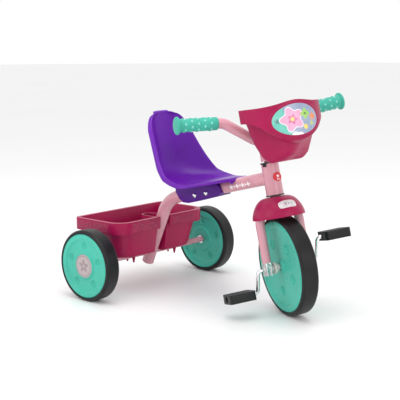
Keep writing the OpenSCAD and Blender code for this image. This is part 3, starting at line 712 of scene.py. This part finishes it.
# %% Rear tub body
TUB_BACK, TUB_FRONT, TUB_HALF = -122.0, 54.0, 164.0
TUB_FLOOR, TUB_RIM, TUB_BAND, LEDGE = 93.0, 192.0, 31.0, 7.0
FRONT_CORNER, BACK_CORNER = 40.0, 14.0
FOOT_X, FOOT_Y, FOOT_ROUND, TUB_WALL = 23.0, 31.0, 7.0, 3.0


def tub_outline(inset_x, inset_y):
    """The closed outline, counted from the middle of the left side's front corner."""
    front = (TUB_FRONT - inset_x, FRONT_CORNER, 12)
    back = (TUB_BACK + inset_x, BACK_CORNER, 8)
    points = []
    corners = ((front, 1, 0), (back, 1, 90), (back, -1, 180), (front, -1, 270))
    for (end, radius, steps), side, start in corners:
        centre = Vector((end - math.copysign(radius, end), side * (TUB_HALF - inset_y - radius)))
        way = [Vector((math.cos(a), math.sin(a))) for a in
               (math.radians(start + 90 * i / steps) for i in range(steps + 1))]
        before, after = way[0].orthogonal() * -3, way[-1].orthogonal() * 3
        points += ([centre + way[0] * radius + before] + [centre + w * radius for w in way]
                   + [centre + way[-1] * radius + after])
    return points + [points[0]]


def tub_skin(name, rows):
    """Carries the outline through rows of (inset x, inset y, height)."""
    rings = [[Vector((p.x, p.y, z)) for p in tub_outline(x, y)] for x, y, z in rows]
    across, along = len(rings[0]) - 1, len(rows) - 1

    def lay(u, v):
        return rings[round((v + 1) / 2 * along)][round((u + 1) / 2 * across)]

    return merged(sheet(name, across, along, lay))


def wall_inset(z, more=0.0):
    up = (z - TUB_FLOOR) / (TUB_RIM - TUB_FLOOR)
    return (FOOT_X + (LEDGE - FOOT_X) * up + more, FOOT_Y + (LEDGE - FOOT_Y) * up + more, z)


def pick_edges(piece, test):
    """Selects only the edges whose two ends pass the test, and enters edit mode."""
    only(piece)
    mesh = piece.data
    for face in mesh.polygons:
        face.select = False
    for vertex in mesh.vertices:
        vertex.select = False
    for edge in mesh.edges:
        a, b = (mesh.vertices[i].co for i in edge.vertices)
        edge.select = test(a, b)
        if edge.select:
            for i in edge.vertices:
                mesh.vertices[i].select = True
    bpy.ops.object.mode_set(mode="EDIT")
    bpy.ops.mesh.select_mode(type="EDGE")


def capped(piece, *levels):
    """Closes the open ends of a skin that lie at these heights, and turns its faces outward."""
    for level in levels:
        pick_edges(piece, lambda a, b: abs(a.z - level) < 0.01 and abs(b.z - level) < 0.01)
        bpy.ops.mesh.edge_face_add()
        bpy.ops.object.mode_set(mode="OBJECT")
    return edited(piece, bpy.ops.mesh.normals_make_consistent, inside=False)


foot = []
for i in range(5):
    turn = math.radians(90 * i / 4)
    inset = wall_inset(TUB_FLOOR + FOOT_ROUND, FOOT_ROUND * (1 - math.sin(turn)))
    foot.append((inset[0], inset[1], TUB_FLOOR + FOOT_ROUND * (1 - math.cos(turn))))
tub_rows = foot + [wall_inset(z) for z in (130, 158, TUB_RIM - TUB_WALL)] + [
    (TUB_WALL, TUB_WALL, TUB_RIM - TUB_WALL), (TUB_WALL, TUB_WALL, TUB_RIM - TUB_BAND)]
tub = capped(tub_skin("rear_tub", tub_rows), TUB_FLOOR)
floor_face = min(tub.data.polygons, key=lambda f: f.center.z)
if floor_face.normal.z > 0:
    tub.data.flip_normals()
shaped(tub, "SOLIDIFY", thickness=TUB_WALL, offset=-1, use_even_offset=True)
print("tub body", len(tub.data.polygons), "faces")

# %% [markdown]
# The channel and the hump over the cross tube are added as solid walls inside the tub, and
# then the room for the tubes is cut through them. Four tapered pegs below the floor clip
# the tub to the cross tube.

# %% Rear tub channel and pegs
CHANNEL, CHANNEL_BACK = 18.0, -22.0
HUMP = 8.4
PEG_X, PEG_Y = 12.0, 77.0
PEG_TIP, PEG_ROOT, PEG_LONG = 2.2, 5.5, 20.0


def inner_block(name):
    """The solid inside of the tub, from its floor to just under its rim."""
    low, high = wall_inset(TUB_FLOOR + 1, 1.2), wall_inset(TUB_RIM - 1.5, 1.2)
    return capped(tub_skin(name, [low, high]), low[2], high[2])


def capsule(name, radius, start, end, low, high):
    """An upright slot shape: a half-round back at start and a flat front at end."""
    piece = primitive(name, bpy.ops.mesh.primitive_cylinder_add, vertices=64, radius=radius,
                      depth=high - low, location=(start + radius, 0, (low + high) / 2))
    for vertex in piece.data.vertices:
        if vertex.co.x > start + radius + 0.01:
            vertex.co.x += end - start - radius
    return piece


def cross_bar(name, radius, half):
    return primitive(name, bpy.ops.mesh.primitive_cylinder_add, vertices=64, radius=radius, depth=2 * half,
                     location=(0, 0, rear_z / MM), rotation=(math.pi / 2, 0, 0))


walls = carved(capsule("channel_wall", CHANNEL + 3, CHANNEL_BACK - 3, 60, TUB_FLOOR - 9, TUB_RIM + 9),
               inner_block("wall_limit"), "INTERSECT")
carved(tub, walls, "UNION")
hump = carved(cross_bar("hump", HUMP + 3, TUB_HALF - 38), inner_block("hump_limit"), "INTERSECT")
carved(tub, hump, "UNION")
carved(tub, capsule("channel_room", CHANNEL, CHANNEL_BACK, 90, TUB_FLOOR - 30, TUB_RIM + 30))
carved(tub, cross_bar("hump_room", HUMP, TUB_HALF + 20))
for x in (-PEG_X, PEG_X):
    for y in (-PEG_Y, PEG_Y):
        peg = primitive("tub_peg", bpy.ops.mesh.primitive_cone_add, vertices=24, radius1=PEG_TIP,
                        radius2=PEG_ROOT, depth=PEG_LONG, location=(x, y, TUB_FLOOR - PEG_LONG / 2 + 1))
        carved(tub, peg, "UNION")
softened(tub, 1.3, 3, 35)

# %% [markdown]
# The band carries an embossed pattern in panels, plain at the corners. It is a relief of
# small raised flecks, drawn as bump on the faces of the band only, so the tub has two
# finishes. The band's finish also paints light and shade: its ground is the berry darkened,
# painted shade, and the raised flecks and their panels are mixed paler, painted highlight.

# %% Rear tub finish
band_berry = moulded("berry_band_shade_and_highlight", BERRY, 0.36)
band_place = band_berry.place((rear_x, 0, 0))
band_x, band_y, band_z = band_berry.parts(band_place)


def panel(value, low, high, edge=MM):
    """1 between low and high, 0 outside, with soft edges."""
    return value.step(low - edge, low + edge) * (1 - value.step(high - edge, high + edge))


RELIEF_LOW, RELIEF_HIGH = 0.1655, 0.1875
span = panel(band_z, RELIEF_LOW, RELIEF_HIGH, 0.0006)
far_y = band_y.math("ABSOLUTE", band_y)
front_panel = panel(far_y, 0.030, 0.118) * band_x.step(0.040, 0.045)
back_panel = (panel(far_y, 0.012, 0.072) + panel(far_y, 0.084, 0.142)) * (
    1 - band_x.step(-0.118, -0.114))
side_panel = (panel(band_x, -0.106, -0.052) + panel(band_x, -0.044, 0.008)) * far_y.step(0.155, 0.159)
zone = (front_panel + side_panel + back_panel) * span
swirl = band_berry.noise(band_place, 120.0)
bent = band_berry.node("ShaderNodeVectorMath", {"operation": "ADD"}, {0: band_place, 1: band_berry.node(
    "ShaderNodeVectorMath", {"operation": "SCALE"}, {0: swirl, "Scale": 0.006})})
flecks = band_berry.cells(bent, 210.0)
relief = (1 - flecks.step(0.25, 0.5)) * zone
# Painted highlight on the relief: the flecks, and faintly whole panels, turn paler; the band's ground is the
# berry at 0.9, painted shade.
RELIEF_HIGHLIGHT = (0.42, 0.06, 0.13, 1)
band_berry.feed("Base Color", band_berry.mix(relief * 0.6 + 0.2 * zone, shade(BERRY, 0.9), RELIEF_HIGHLIGHT))
band_berry.bump(relief, 1.0, 0.0016)
done(tub, AT_REAR, "frame", "berry_plastic", berry, "rear_basket", angle=40)
tub.data.materials.append(band_berry.material)
SKIN = 4.5
for face in tub.data.polygons:
    at = Vector(face.center) / MM - Vector((rear_x / MM, 0, 0))
    outside = at.x > TUB_FRONT - SKIN or at.x < TUB_BACK + SKIN or abs(at.y) > TUB_HALF - SKIN
    corner_x, corner_y = at.x - TUB_FRONT + FRONT_CORNER, abs(at.y) - TUB_HALF + FRONT_CORNER
    corner = min(corner_x, corner_y) > 0 and math.hypot(corner_x, corner_y) > FRONT_CORNER - SKIN
    if (outside or corner) and at.z < TUB_RIM - 2 and abs(face.normal.z) < 0.5:
        face.material_index = 1
print("rear tub finished")

# %% [markdown]
# ## Front basket
# The basket is a tapered bin behind a curved front. The bin's outline is drawn round five
# circles, and its wall is found from the middle outwards: the nearest tangent line in each
# direction. It widens quickly above its floor and then leans gently.

# %% Front basket bin
BIN_LOW, BIN_DEEP, BIN_WALL = 245.0, 116.0, 3.0
WING_U, WING_R, WING_TURN = 84.0, 99.8, 83.0
BIN_ROWS = [(0, 0, 0), (14, 0.3, 9), (50, 0.68, 21), (BIN_DEEP, 1, 13)]
BIN_ROUND = 8.0


def bin_reach(angle, height):
    """Distance from the band's centre line to the bin's wall, in one direction."""
    grow, forward = lerp_rows(BIN_ROWS, height, 1), lerp_rows(BIN_ROWS, height, 2)
    back_u, back_v = 56 - 24 * grow - WING_U, 18 + 30 * grow
    front_u, front_v = 94 + 4 * grow - WING_U, 32 + 44 * grow
    nose_u = 90 + 46 * grow + forward - WING_U
    rounds = [(back_u, back_v, 8), (back_u, -back_v, 8), (front_u, front_v, 12), (front_u, -front_v, 12),
              (nose_u, 0, 17 + 12 * grow)]
    best = 1000.0
    for step in range(-28, 29):
        off = math.radians(3 * step)
        way_u, way_v = math.cos(angle + off), math.sin(angle + off)
        best = min(best, max(u * way_u + v * way_v + r for u, v, r in rounds) / math.cos(off))
    return best


def round_bin(angle, height, inset):
    far = bin_reach(angle, height) - inset
    return Vector((WING_U + far * math.cos(angle), far * math.sin(angle), BIN_LOW + height))


bin_rows = []
for i in range(5):
    turn = math.radians(90 * i / 4)
    bin_rows.append((BIN_ROUND * (1 - math.cos(turn)), BIN_ROUND * (1 - math.sin(turn))))
bin_rows += [(h, 0.0) for h in (13, 20, 28, 38, 48, 60, 76, 96, BIN_DEEP)]
BIN_TURNS = 96
bin_points = [[round_bin(math.tau * i / BIN_TURNS, h, inset) for i in range(BIN_TURNS + 1)]
              for h, inset in bin_rows]


def bin_lay(u, v):
    row = bin_points[round((v + 1) / 2 * (len(bin_rows) - 1))]
    return row[round((u + 1) / 2 * BIN_TURNS)]


basket = capped(merged(sheet("front_bin", BIN_TURNS, len(bin_rows) - 1, bin_lay)), BIN_LOW)
if min(basket.data.polygons, key=lambda f: f.center.z).normal.z > 0:
    basket.data.flip_normals()
shaped(basket, "SOLIDIFY", thickness=BIN_WALL, offset=-1, use_even_offset=True)
softened(basket, 1.0, 3, 50)
print("bin", len(basket.data.polygons), "faces")

# %% [markdown]
# The band is a curved wall with two wings. Its top edge rises a little over the picture and
# its lower edge sweeps down under it, then turns in towards the bin. A ledge ties the bin's
# rim to the band, and a low lip frames the picture.

# %% Front basket band
PICTURE_W, PICTURE_HALF_V, PICTURE_HALF_W = 331.0, 57.5, 36.0
BAND_TOP, BAND_CREST, CREST_HALF, WING_TIP = 368, 7, 38, 6
WING_LOW, BAND_SWEEP, TUCK = 343, 53, 10


def on_band(radius, v, w):
    turn = math.asin(max(-0.999, min(0.999, v / WING_R)))
    return Vector((WING_U + radius * math.cos(turn), radius * math.sin(turn), w))


def band_edges(v):
    """The height of the band's top edge and of its lower edge."""
    far = min(1, abs(v) / WING_R)
    top = BAND_TOP + BAND_CREST * math.exp(-(v / CREST_HALF) ** 2) + WING_TIP * far ** 6
    return top, WING_LOW - BAND_SWEEP * math.cos(math.pi / 2 * far ** 1.25) ** 1.3


FACE_ROWS, TUCK_ROWS = 14, 5


def band_lay(u, t):
    """The band from its tucked-in lower edge, t of -1, up to its top edge, t of 1."""
    turn = math.radians(WING_TURN * u)
    v = WING_R * math.sin(turn)
    top, low = band_edges(v)
    row = round((t + 1) / 2 * (FACE_ROWS + TUCK_ROWS))
    radius, w = WING_R, low + (top - low) * (row - TUCK_ROWS) / FACE_ROWS
    if row < TUCK_ROWS:
        fade = max(0.04, 1 - min(1, max(0, (abs(v) - 52) / 26)) ** 2)
        bend = math.radians(90 * (TUCK_ROWS - row) / TUCK_ROWS)
        gap = max(2.0, WING_R - bin_reach(turn, max(low - BIN_LOW - TUCK, 6)) - BIN_WALL / 2)
        radius = WING_R - gap * fade * (1 - math.cos(bend))
        w = low - TUCK * fade * math.sin(bend)
    return Vector((WING_U + radius * math.cos(turn), radius * math.sin(turn), w))


def outward(piece, centre):
    """Turns an open sheet's faces away from a point."""
    facing = sum(f.area * f.normal.dot(f.center - Vector(centre)) for f in piece.data.polygons)
    if facing < 0:
        piece.data.flip_normals()
    return piece


band = outward(sheet("band", 96, FACE_ROWS + TUCK_ROWS, band_lay), (WING_U, 0, PICTURE_W))
shaped(band, "SOLIDIFY", thickness=BIN_WALL, offset=-1)
softened(band, 1.3, 4, 50)


def ledge_lay(u, t):
    turn = math.radians(WING_TURN * u)
    inner = bin_reach(turn, BIN_DEEP) - BIN_WALL / 2
    radius = inner + (WING_R - BIN_WALL / 2 - inner) * (t + 1) / 2
    return Vector((WING_U + radius * math.cos(turn), radius * math.sin(turn), BIN_LOW + BIN_DEEP))


ledge = outward(sheet("ledge", 96, 2, ledge_lay), (WING_U, 0, 0))
shaped(ledge, "SOLIDIFY", thickness=BIN_WALL, offset=-1)


def lip_lay(u, t):
    """A half-round frame, 5 wide and 1.8 high, round the picture's oval."""
    way, turn = math.pi * u, math.radians(90 * t)
    wide = 1 + 2.6 * math.sin(turn) / PICTURE_HALF_W
    return on_band(WING_R - 0.4 + 2.0 * math.cos(turn), (PICTURE_HALF_V + 1.5) * wide * math.cos(way),
                   PICTURE_W + (PICTURE_HALF_W + 1.5) * wide * math.sin(way))


lip = outward(sheet("lip", 96, 8, lip_lay), (0, 0, PICTURE_W))
shaped(lip, "SOLIDIFY", thickness=0.6, offset=-1)
done(joined("front_bin", [basket, band, ledge, lip]), AT_STEER, "steering", "berry_plastic", berry,
     "front_basket", angle=45)

# %% [markdown]
# The picture is a glossy printed oval. Its scene is made of plain shapes: a big five-petal
# flower on a two-colour ground, with a leaf, a star and a sun beside it. Each shape is the
# distance from its middle, compared with a radius that waves as it goes round.

# %% Picture on the basket


def picture_lay(u, t):
    way, far = math.pi * u, (t + 1) / 2
    return on_band(WING_R + 0.7, PICTURE_HALF_V * far * math.cos(way),
                   PICTURE_W + PICTURE_HALF_W * far * math.sin(way))


picture = merged(outward(sheet("picture_oval", 96, 10, picture_lay), (0, 0, PICTURE_W)))
shaped(picture, "SOLIDIFY", thickness=0.6, offset=-1)
print_gloss = Finish("picture_gloss", Roughness=0.3, Coat_Weight=0.4, Coat_Roughness=0.1)
picture_at = print_gloss.place(tuple(AT_STEER @ Vector((0, 0, PICTURE_W))))


def along(finish, place, way):
    """How far a place lies along a direction, in millimetres."""
    return finish.node("ShaderNodeVectorMath", {"operation": "DOT_PRODUCT"},
                       {0: place, 1: tuple(way)}, out="Value") * 1000.0


def bloom(at, centre, radius, lobes=0, depth=0.0, spin=0.0):
    """1 inside a round shape, whose edge may wave, and 0 outside. Sizes are in millimetres."""
    dx, dy = at[0] - centre[0], at[1] - centre[1]
    edge = radius
    if lobes:
        angle = dx.math("ARCTAN2", dx, dy) + spin
        edge = angle.math("COSINE", angle * float(lobes)) * depth + radius
    return 1 - ((dx * dx + dy * dy).power(0.5) - edge).step(-0.5, 0.5)


def print_place(finish, place, across=axle_way, up=steer_way):
    """The two places on a print, across and up."""
    return along(finish, place, across), along(finish, place, up)


pic = print_place(print_gloss, picture_at)
tint = print_gloss.noise(picture_at, 40.0)
ground = print_gloss.mix((pic[0] + pic[1] * 0.25).step(-26.0, -22.0), (0.10, 0.52, 0.42, 1),
                         (0.27, 0.33, 0.47, 1))
FLOWER, LEAF = (-12, 1), (21, 10)
layers = [
    (bloom(pic, (-45, 1), 4.5, 5, 1.8), (0.03, 0.20, 0.17, 1)),
    (bloom(pic, (-10, -36), 9.0).most(bloom(pic, (2, -37), 8.0)), (0.85, 0.80, 0.84, 1)),
    (bloom(pic, FLOWER, 25.0, 5, 4.5, 0.3), (0.86, 0.82, 0.85, 1)),
    (bloom(pic, FLOWER, 23.0, 5, 4.5, 0.3), (0.80, 0.33, 0.52, 1)),
    (bloom(pic, FLOWER, 9.5, 5, 2.5, 0.9), (0.62, 0.12, 0.30, 1)),
    (bloom(pic, FLOWER, 4.5), (0.85, 0.62, 0.15, 1)),
    (bloom(pic, LEAF, 10.0, 4, 2.2), (0.30, 0.58, 0.06, 1)),
    (bloom(pic, LEAF, 3.0), (0.04, 0.16, 0.02, 1)),
    (bloom(pic, (41, 2), 7.0, 5, 2.8), (0.78, 0.22, 0.03, 1)),
    (bloom(pic, (36, -13), 4.0, 3, 1.5), (0.48, 0.55, 0.05, 1)),
    (bloom(pic, (18, -19), 5.5), (0.85, 0.62, 0.10, 1))]
for mask, ink in layers:
    ground = print_gloss.mix(mask, ground, ink)
print_gloss.feed("Base Color", print_gloss.mix(tint.step(0.3, 0.8) * 0.12, ground, (0.9, 0.9, 0.9, 1)))
print_gloss.feed("Roughness", 0.28 + (tint - 0.5) * 0.2)
print_gloss.bump(tint, 0.08, 0.0003)
done(picture, AT_STEER, "steering", "picture_print", print_gloss, "basket_picture")

# %% [markdown]
# ## Fender
# The fender is a dome over the fork crown. Its lower edge turns down into a short skirt,
# and it is a little narrower than it is long. A small curved plate sits on its front.

# %% Fender and its plate
FENDER = [(13.2, 166.5), (25, 166.5), (31, 165.8), (38, 163.6), (46, 159.4), (53, 153.8), (59, 147),
          (64, 139.5), (67.5, 131), (69.4, 124), (70, 117), (67.4, 117), (66.6, 124.5), (64.6, 131),
          (61, 139), (56, 146.4), (50.5, 152), (44, 157), (36.5, 160.8), (30, 162.8), (24, 163.6),
          (13.2, 163.6), (13.2, 166.5)]
FENDER_NARROW, NARROW_FROM, NARROW_OVER = 0.114, 26, 34
fender = lathe("fender", FENDER, 96)
for vertex in fender.data.vertices:
    far = math.hypot(vertex.co.x, vertex.co.y)
    vertex.co.y *= 1 - FENDER_NARROW * min(1, max(0, (far - NARROW_FROM) / NARROW_OVER))
softened(fender, 0.9, 3, 50)
done(fender, AT_STEER, "steering", "berry_plastic", berry, "front_fender", angle=40)

PLATE_LEAN, PLATE_SPOT, PLATE_LONG = 53.0, Vector((59.6, 0, 147.2)), 0.46
plate = lathe("fender_plate", [(0, 0.9), (20, 0.9), (21.6, 0.5), (22, -0.3), (22, -1.6), (0, -1.6)], 64)
for vertex in plate.data.vertices:
    way = Vector((vertex.co.x, vertex.co.y)).normalized()
    square = 1 / (way.x ** 4 + way.y ** 4) ** 0.25 if way.length else 1
    x, y = vertex.co.x * square * PLATE_LONG, vertex.co.y * square
    vertex.co = Vector((x, y, vertex.co.z - y ** 2 / 108))
moved(plate, Matrix.Translation(PLATE_SPOT) @ Matrix.Rotation(math.radians(PLATE_LEAN), 4, "Y"))
plate_print = Finish("plate_print", Roughness=0.35, Coat_Weight=0.3)
plate_at = plate_print.place(tuple(AT_STEER @ PLATE_SPOT))
face_at = print_place(plate_print, plate_at)
plate_grain = plate_print.noise(plate_at, 160.0)
mark = bloom(face_at, (-5, 0.5), 2.6, 5, 0.9).most(bloom(face_at, (3, 0.5), 1.8)).most(
    bloom(face_at, (8, 0.5), 1.2))
plate_print.feed("Base Color", plate_print.mix(mark * 0.75, plate_print.mix(
    plate_grain.step(0.4, 0.6), (0.68, 0.62, 0.64, 1), (0.80, 0.76, 0.77, 1)), (0.16, 0.13, 0.16, 1)))
plate_print.feed("Roughness", 0.33 + (plate_grain - 0.5) * 0.2)
plate_print.bump(plate_grain + mark, 0.1, 0.0003)
done(plate, AT_STEER, "steering", "white_plastic", plate_print, "fender_badge")

# %% [markdown]
# ## Grips
# Each grip is a soft sleeve with a round flange at its outer end. Rows of low round studs
# cover it, and the flange's face is gently domed. The sleeve is coloured a darker teal,
# painted shade among the studs, and the studs a paler teal, painted highlight on their tops.

# %% Grips
GRIP = [(0, -3.9), (14, -3.9), (18.6, -3.4), (20.6, -2), (21, 0), (20.6, 1.9), (18.8, 3.1), (16.4, 3.9),
        (15.6, 5.4), (15.5, 10), (15.5, 50), (15.5, 96), (15.0, 98.6), (13.6, 99.9), (12.6, 99.9),
        (12.6, 2), (0, 2), (0, -3.9)]
GRIP_END_V, GRIP_END_W, GRIP_TILT = 215.0, 368.0, math.atan2(10, 115)
STUD_ROWS, STUDS, STUD, STUD_SEAT, STUD_FLAT = (17, 33, 49, 65, 81), 7, 3.4, 15.2, 0.6
# Painted shade and highlight: the sleeve is the teal darkened to 0.9, and the studs are a paler teal standing
# in for the light on their tops.
shaded_grip_teal = moulded("teal_grip_rubber", shade(TEAL, 0.9), 0.5, 0.25)
stud_highlight_teal = moulded("stud_painted_highlight", (0.22, 0.68, 0.58, 1), 0.4, 0.1)
for side_name, side in (("right", -1), ("left", 1)):
    grip = lathe("soft_grip_" + side_name, GRIP, 64)
    studs = [grip]
    for row, level in enumerate(STUD_ROWS):
        for number in range(STUDS):
            turn = math.tau * (number + 0.5 * (row % 2)) / STUDS
            stud = primitive("stud", bpy.ops.mesh.primitive_uv_sphere_add, segments=16, ring_count=10,
                             radius=STUD)
            flat = (Matrix.Rotation(turn, 4, "Z") @ Matrix.Translation((STUD_SEAT, 0, level))
                    @ Matrix.Diagonal((STUD_FLAT, 1, 1, 1)))
            studs.append(moved(stud, flat))
    grip = joined("soft_grip_" + side_name, studs)
    inward = Vector((0, -side * math.cos(GRIP_TILT), -math.sin(GRIP_TILT)))
    ahead = Vector((1, 0, 0))
    local = Matrix((ahead, inward.cross(ahead), inward)).transposed().to_4x4()
    spot = AT_STEER @ Matrix.Translation((0, side * GRIP_END_V, GRIP_END_W)) @ local
    raised = [math.hypot(f.center.x, f.center.y) > 16.1 and 8 < f.center.z < 92 for f in grip.data.polygons]
    done(grip, spot, "steering", "teal_grip", shaded_grip_teal, "grip_" + side_name, angle=50)
    grip.data.materials.append(stud_highlight_teal.material)
    for face, high in zip(grip.data.polygons, raised):
        face.material_index = 1 if high else 0

# %% [markdown]
# ## Pedals and fork ends
# The pedals and the fork's end brackets keep their measured form, with softened edges.

# %% Pedals and fork ends
for side_name in ("right", "left"):
    done(rounded_copy("pedal_" + side_name, "foot_pedal_" + side_name, 0.0011), HERE, side_name + "_pedal",
         "black_plastic", ink_black, "pedal_" + side_name)
    done(rounded_copy("fork_bracket_" + side_name, "leg_end_" + side_name, 0.0012), HERE, "steering",
         "bright_steel", zinc, "fork_bracket_" + side_name)

# %% [markdown]
# ## Badge and printed strip
# A small red disc on the head tube and a printed strip on the main tube carry plain marks:
# a white flower, and a row of white dots and petals.

# %% Badge and strip
badge = Finish("red_badge", Roughness=0.35, Coat_Weight=0.4)
badge_middle = middle("head_badge")
badge_at = badge.place(tuple(badge_middle))
disc_at = print_place(badge, badge_at)
badge_grain = badge.noise(badge_at, 120.0)
badge_mark = bloom(disc_at, (1.5, 1.0), 3.2, 5, 1.2).most(bloom(disc_at, (-1, -6.5), 1.6)).most(
    bloom(disc_at, (3.5, -6.5), 1.6))
badge.feed("Base Color", badge.mix(badge_mark, badge.mix(badge_grain.step(0.4, 0.6), (0.62, 0.008, 0.02, 1), (
    0.72, 0.012, 0.03, 1)), (0.86, 0.84, 0.84, 1)))
badge.feed("Roughness", 0.33 + (badge_grain - 0.5) * 0.2)
badge.bump(badge_grain, 0.08, 0.0003)

strip = Finish("tube_strip", Roughness=0.35, Coat_Weight=0.4)
TUBE_WAY, TUBE_UP = Vector((0.9689, 0, 0.2475)), Vector((-0.2475, 0, 0.9689))
STRIP_MARKS = ((-18, 2.4, 0), (-9, 4.2, 4), (0, 2.4, 0), (9, 4.4, 5), (18, 2.4, 0), (27, 4.2, 4))
strip_at = strip.place(tuple(middle("tube_decal")))
tube_at = print_place(strip, strip_at, TUBE_WAY, TUBE_UP)
strip_grain = strip.noise(strip_at, 90.0)
strip_mark = bloom(tube_at, (-28, -2), 4.6, 5, 1.6)
for spot_x, radius, lobes in STRIP_MARKS:
    strip_mark = strip_mark.most(bloom(tube_at, (spot_x, -2), radius, lobes, 1.4))
strip.feed("Base Color", strip.mix(strip_mark * 0.9, strip.mix(
    strip_grain.step(0.4, 0.6), shade(PINK, 0.86), shade(PINK, 0.95)), (0.88, 0.84, 0.86, 1)))
strip.feed("Roughness", 0.3 + (strip_grain - 0.5) * 0.15)
strip.bump(strip_grain, 0.06, 0.0003)
print("marks made")

# %% [markdown]
# ## Measured pieces that stay
# Tubes, rods, washers and nuts already have their true form. Each one gets its finish.

# %% Finishes for the measured pieces
KEPT = {
    pink_paint: ("main_tube", "head_tube", "rear_cross_tube", "fork", "steerer", "stem_sleeve", "handlebar"),
    zinc: ("rear_axle", "axle_push_nuts", "axle_washers", "seat_nuts", "bracket_screws",
           "front_basket_screws", "hub_washers", "pedal_nuts"),
    ink_black: ("lower_head_bush", "upper_head_bush", "stem_bolt", "basket_spacers"),
    nylon: ("rear_bush_right", "rear_bush_left", "axle_bush_right", "axle_bush_left"),
    mirror_plate: ("crank_axle",), pink_plug: ("main_tube_cap",), badge: ("head_badge",),
    strip: ("tube_decal",)}
for finish, names in KEPT.items():
    for name in names:
        mesh = frame["nodes"][name].data
        mesh.materials.clear()
        mesh.materials.append(finish.material)
print("finishes given to", sum(len(names) for names in KEPT.values()), "measured pieces")

# %% [markdown]
# ## Studio
# A pale floor, a bright even room and three broad soft lights give a catalogue look: the
# shapes stay clear, the glosses show, and the shadows under the wheels stay light.

# %% Studio
floor = primitive("floor", bpy.ops.mesh.primitive_plane_add, size=30)
floor_finish = Finish("floor", Roughness=0.5)
floor_tone = floor_finish.noise(floor_finish.place(), 1.5)
floor_finish.feed("Base Color", floor_finish.mix(floor_tone, (0.86, 0.86, 0.86, 1), (0.90, 0.90, 0.90, 1)))
floor.data.materials.append(floor_finish.material)
room = bpy.data.worlds.new("room")
bpy.context.scene.world = room
room.use_nodes = True
glow = room.node_tree.nodes["Background"].inputs
glow["Color"].default_value, glow["Strength"].default_value = (1, 1, 1, 1), 1.0
AIM = Vector((0, 0, 0.25))


def soft_light(name, place, size, power):
    data = bpy.data.lights.new(name, "AREA")
    data.shape, data.size, data.energy = "DISK", size, power
    light = bpy.data.objects.new(name, data)
    bpy.context.scene.collection.objects.link(light)
    light.location = place
    light.rotation_euler = (AIM - Vector(place)).to_track_quat("-Z", "Y").to_euler()
    return light


soft_light("top_light", (0.2, -0.4, 2.6), 2.2, 26)
soft_light("side_light", (-0.9, -2.4, 1.4), 1.6, 10)
soft_light("front_light", (2.6, -0.6, 1.3), 1.4, 8)
bpy.context.scene.view_settings.view_transform = "Standard"
print("studio ready")

import json
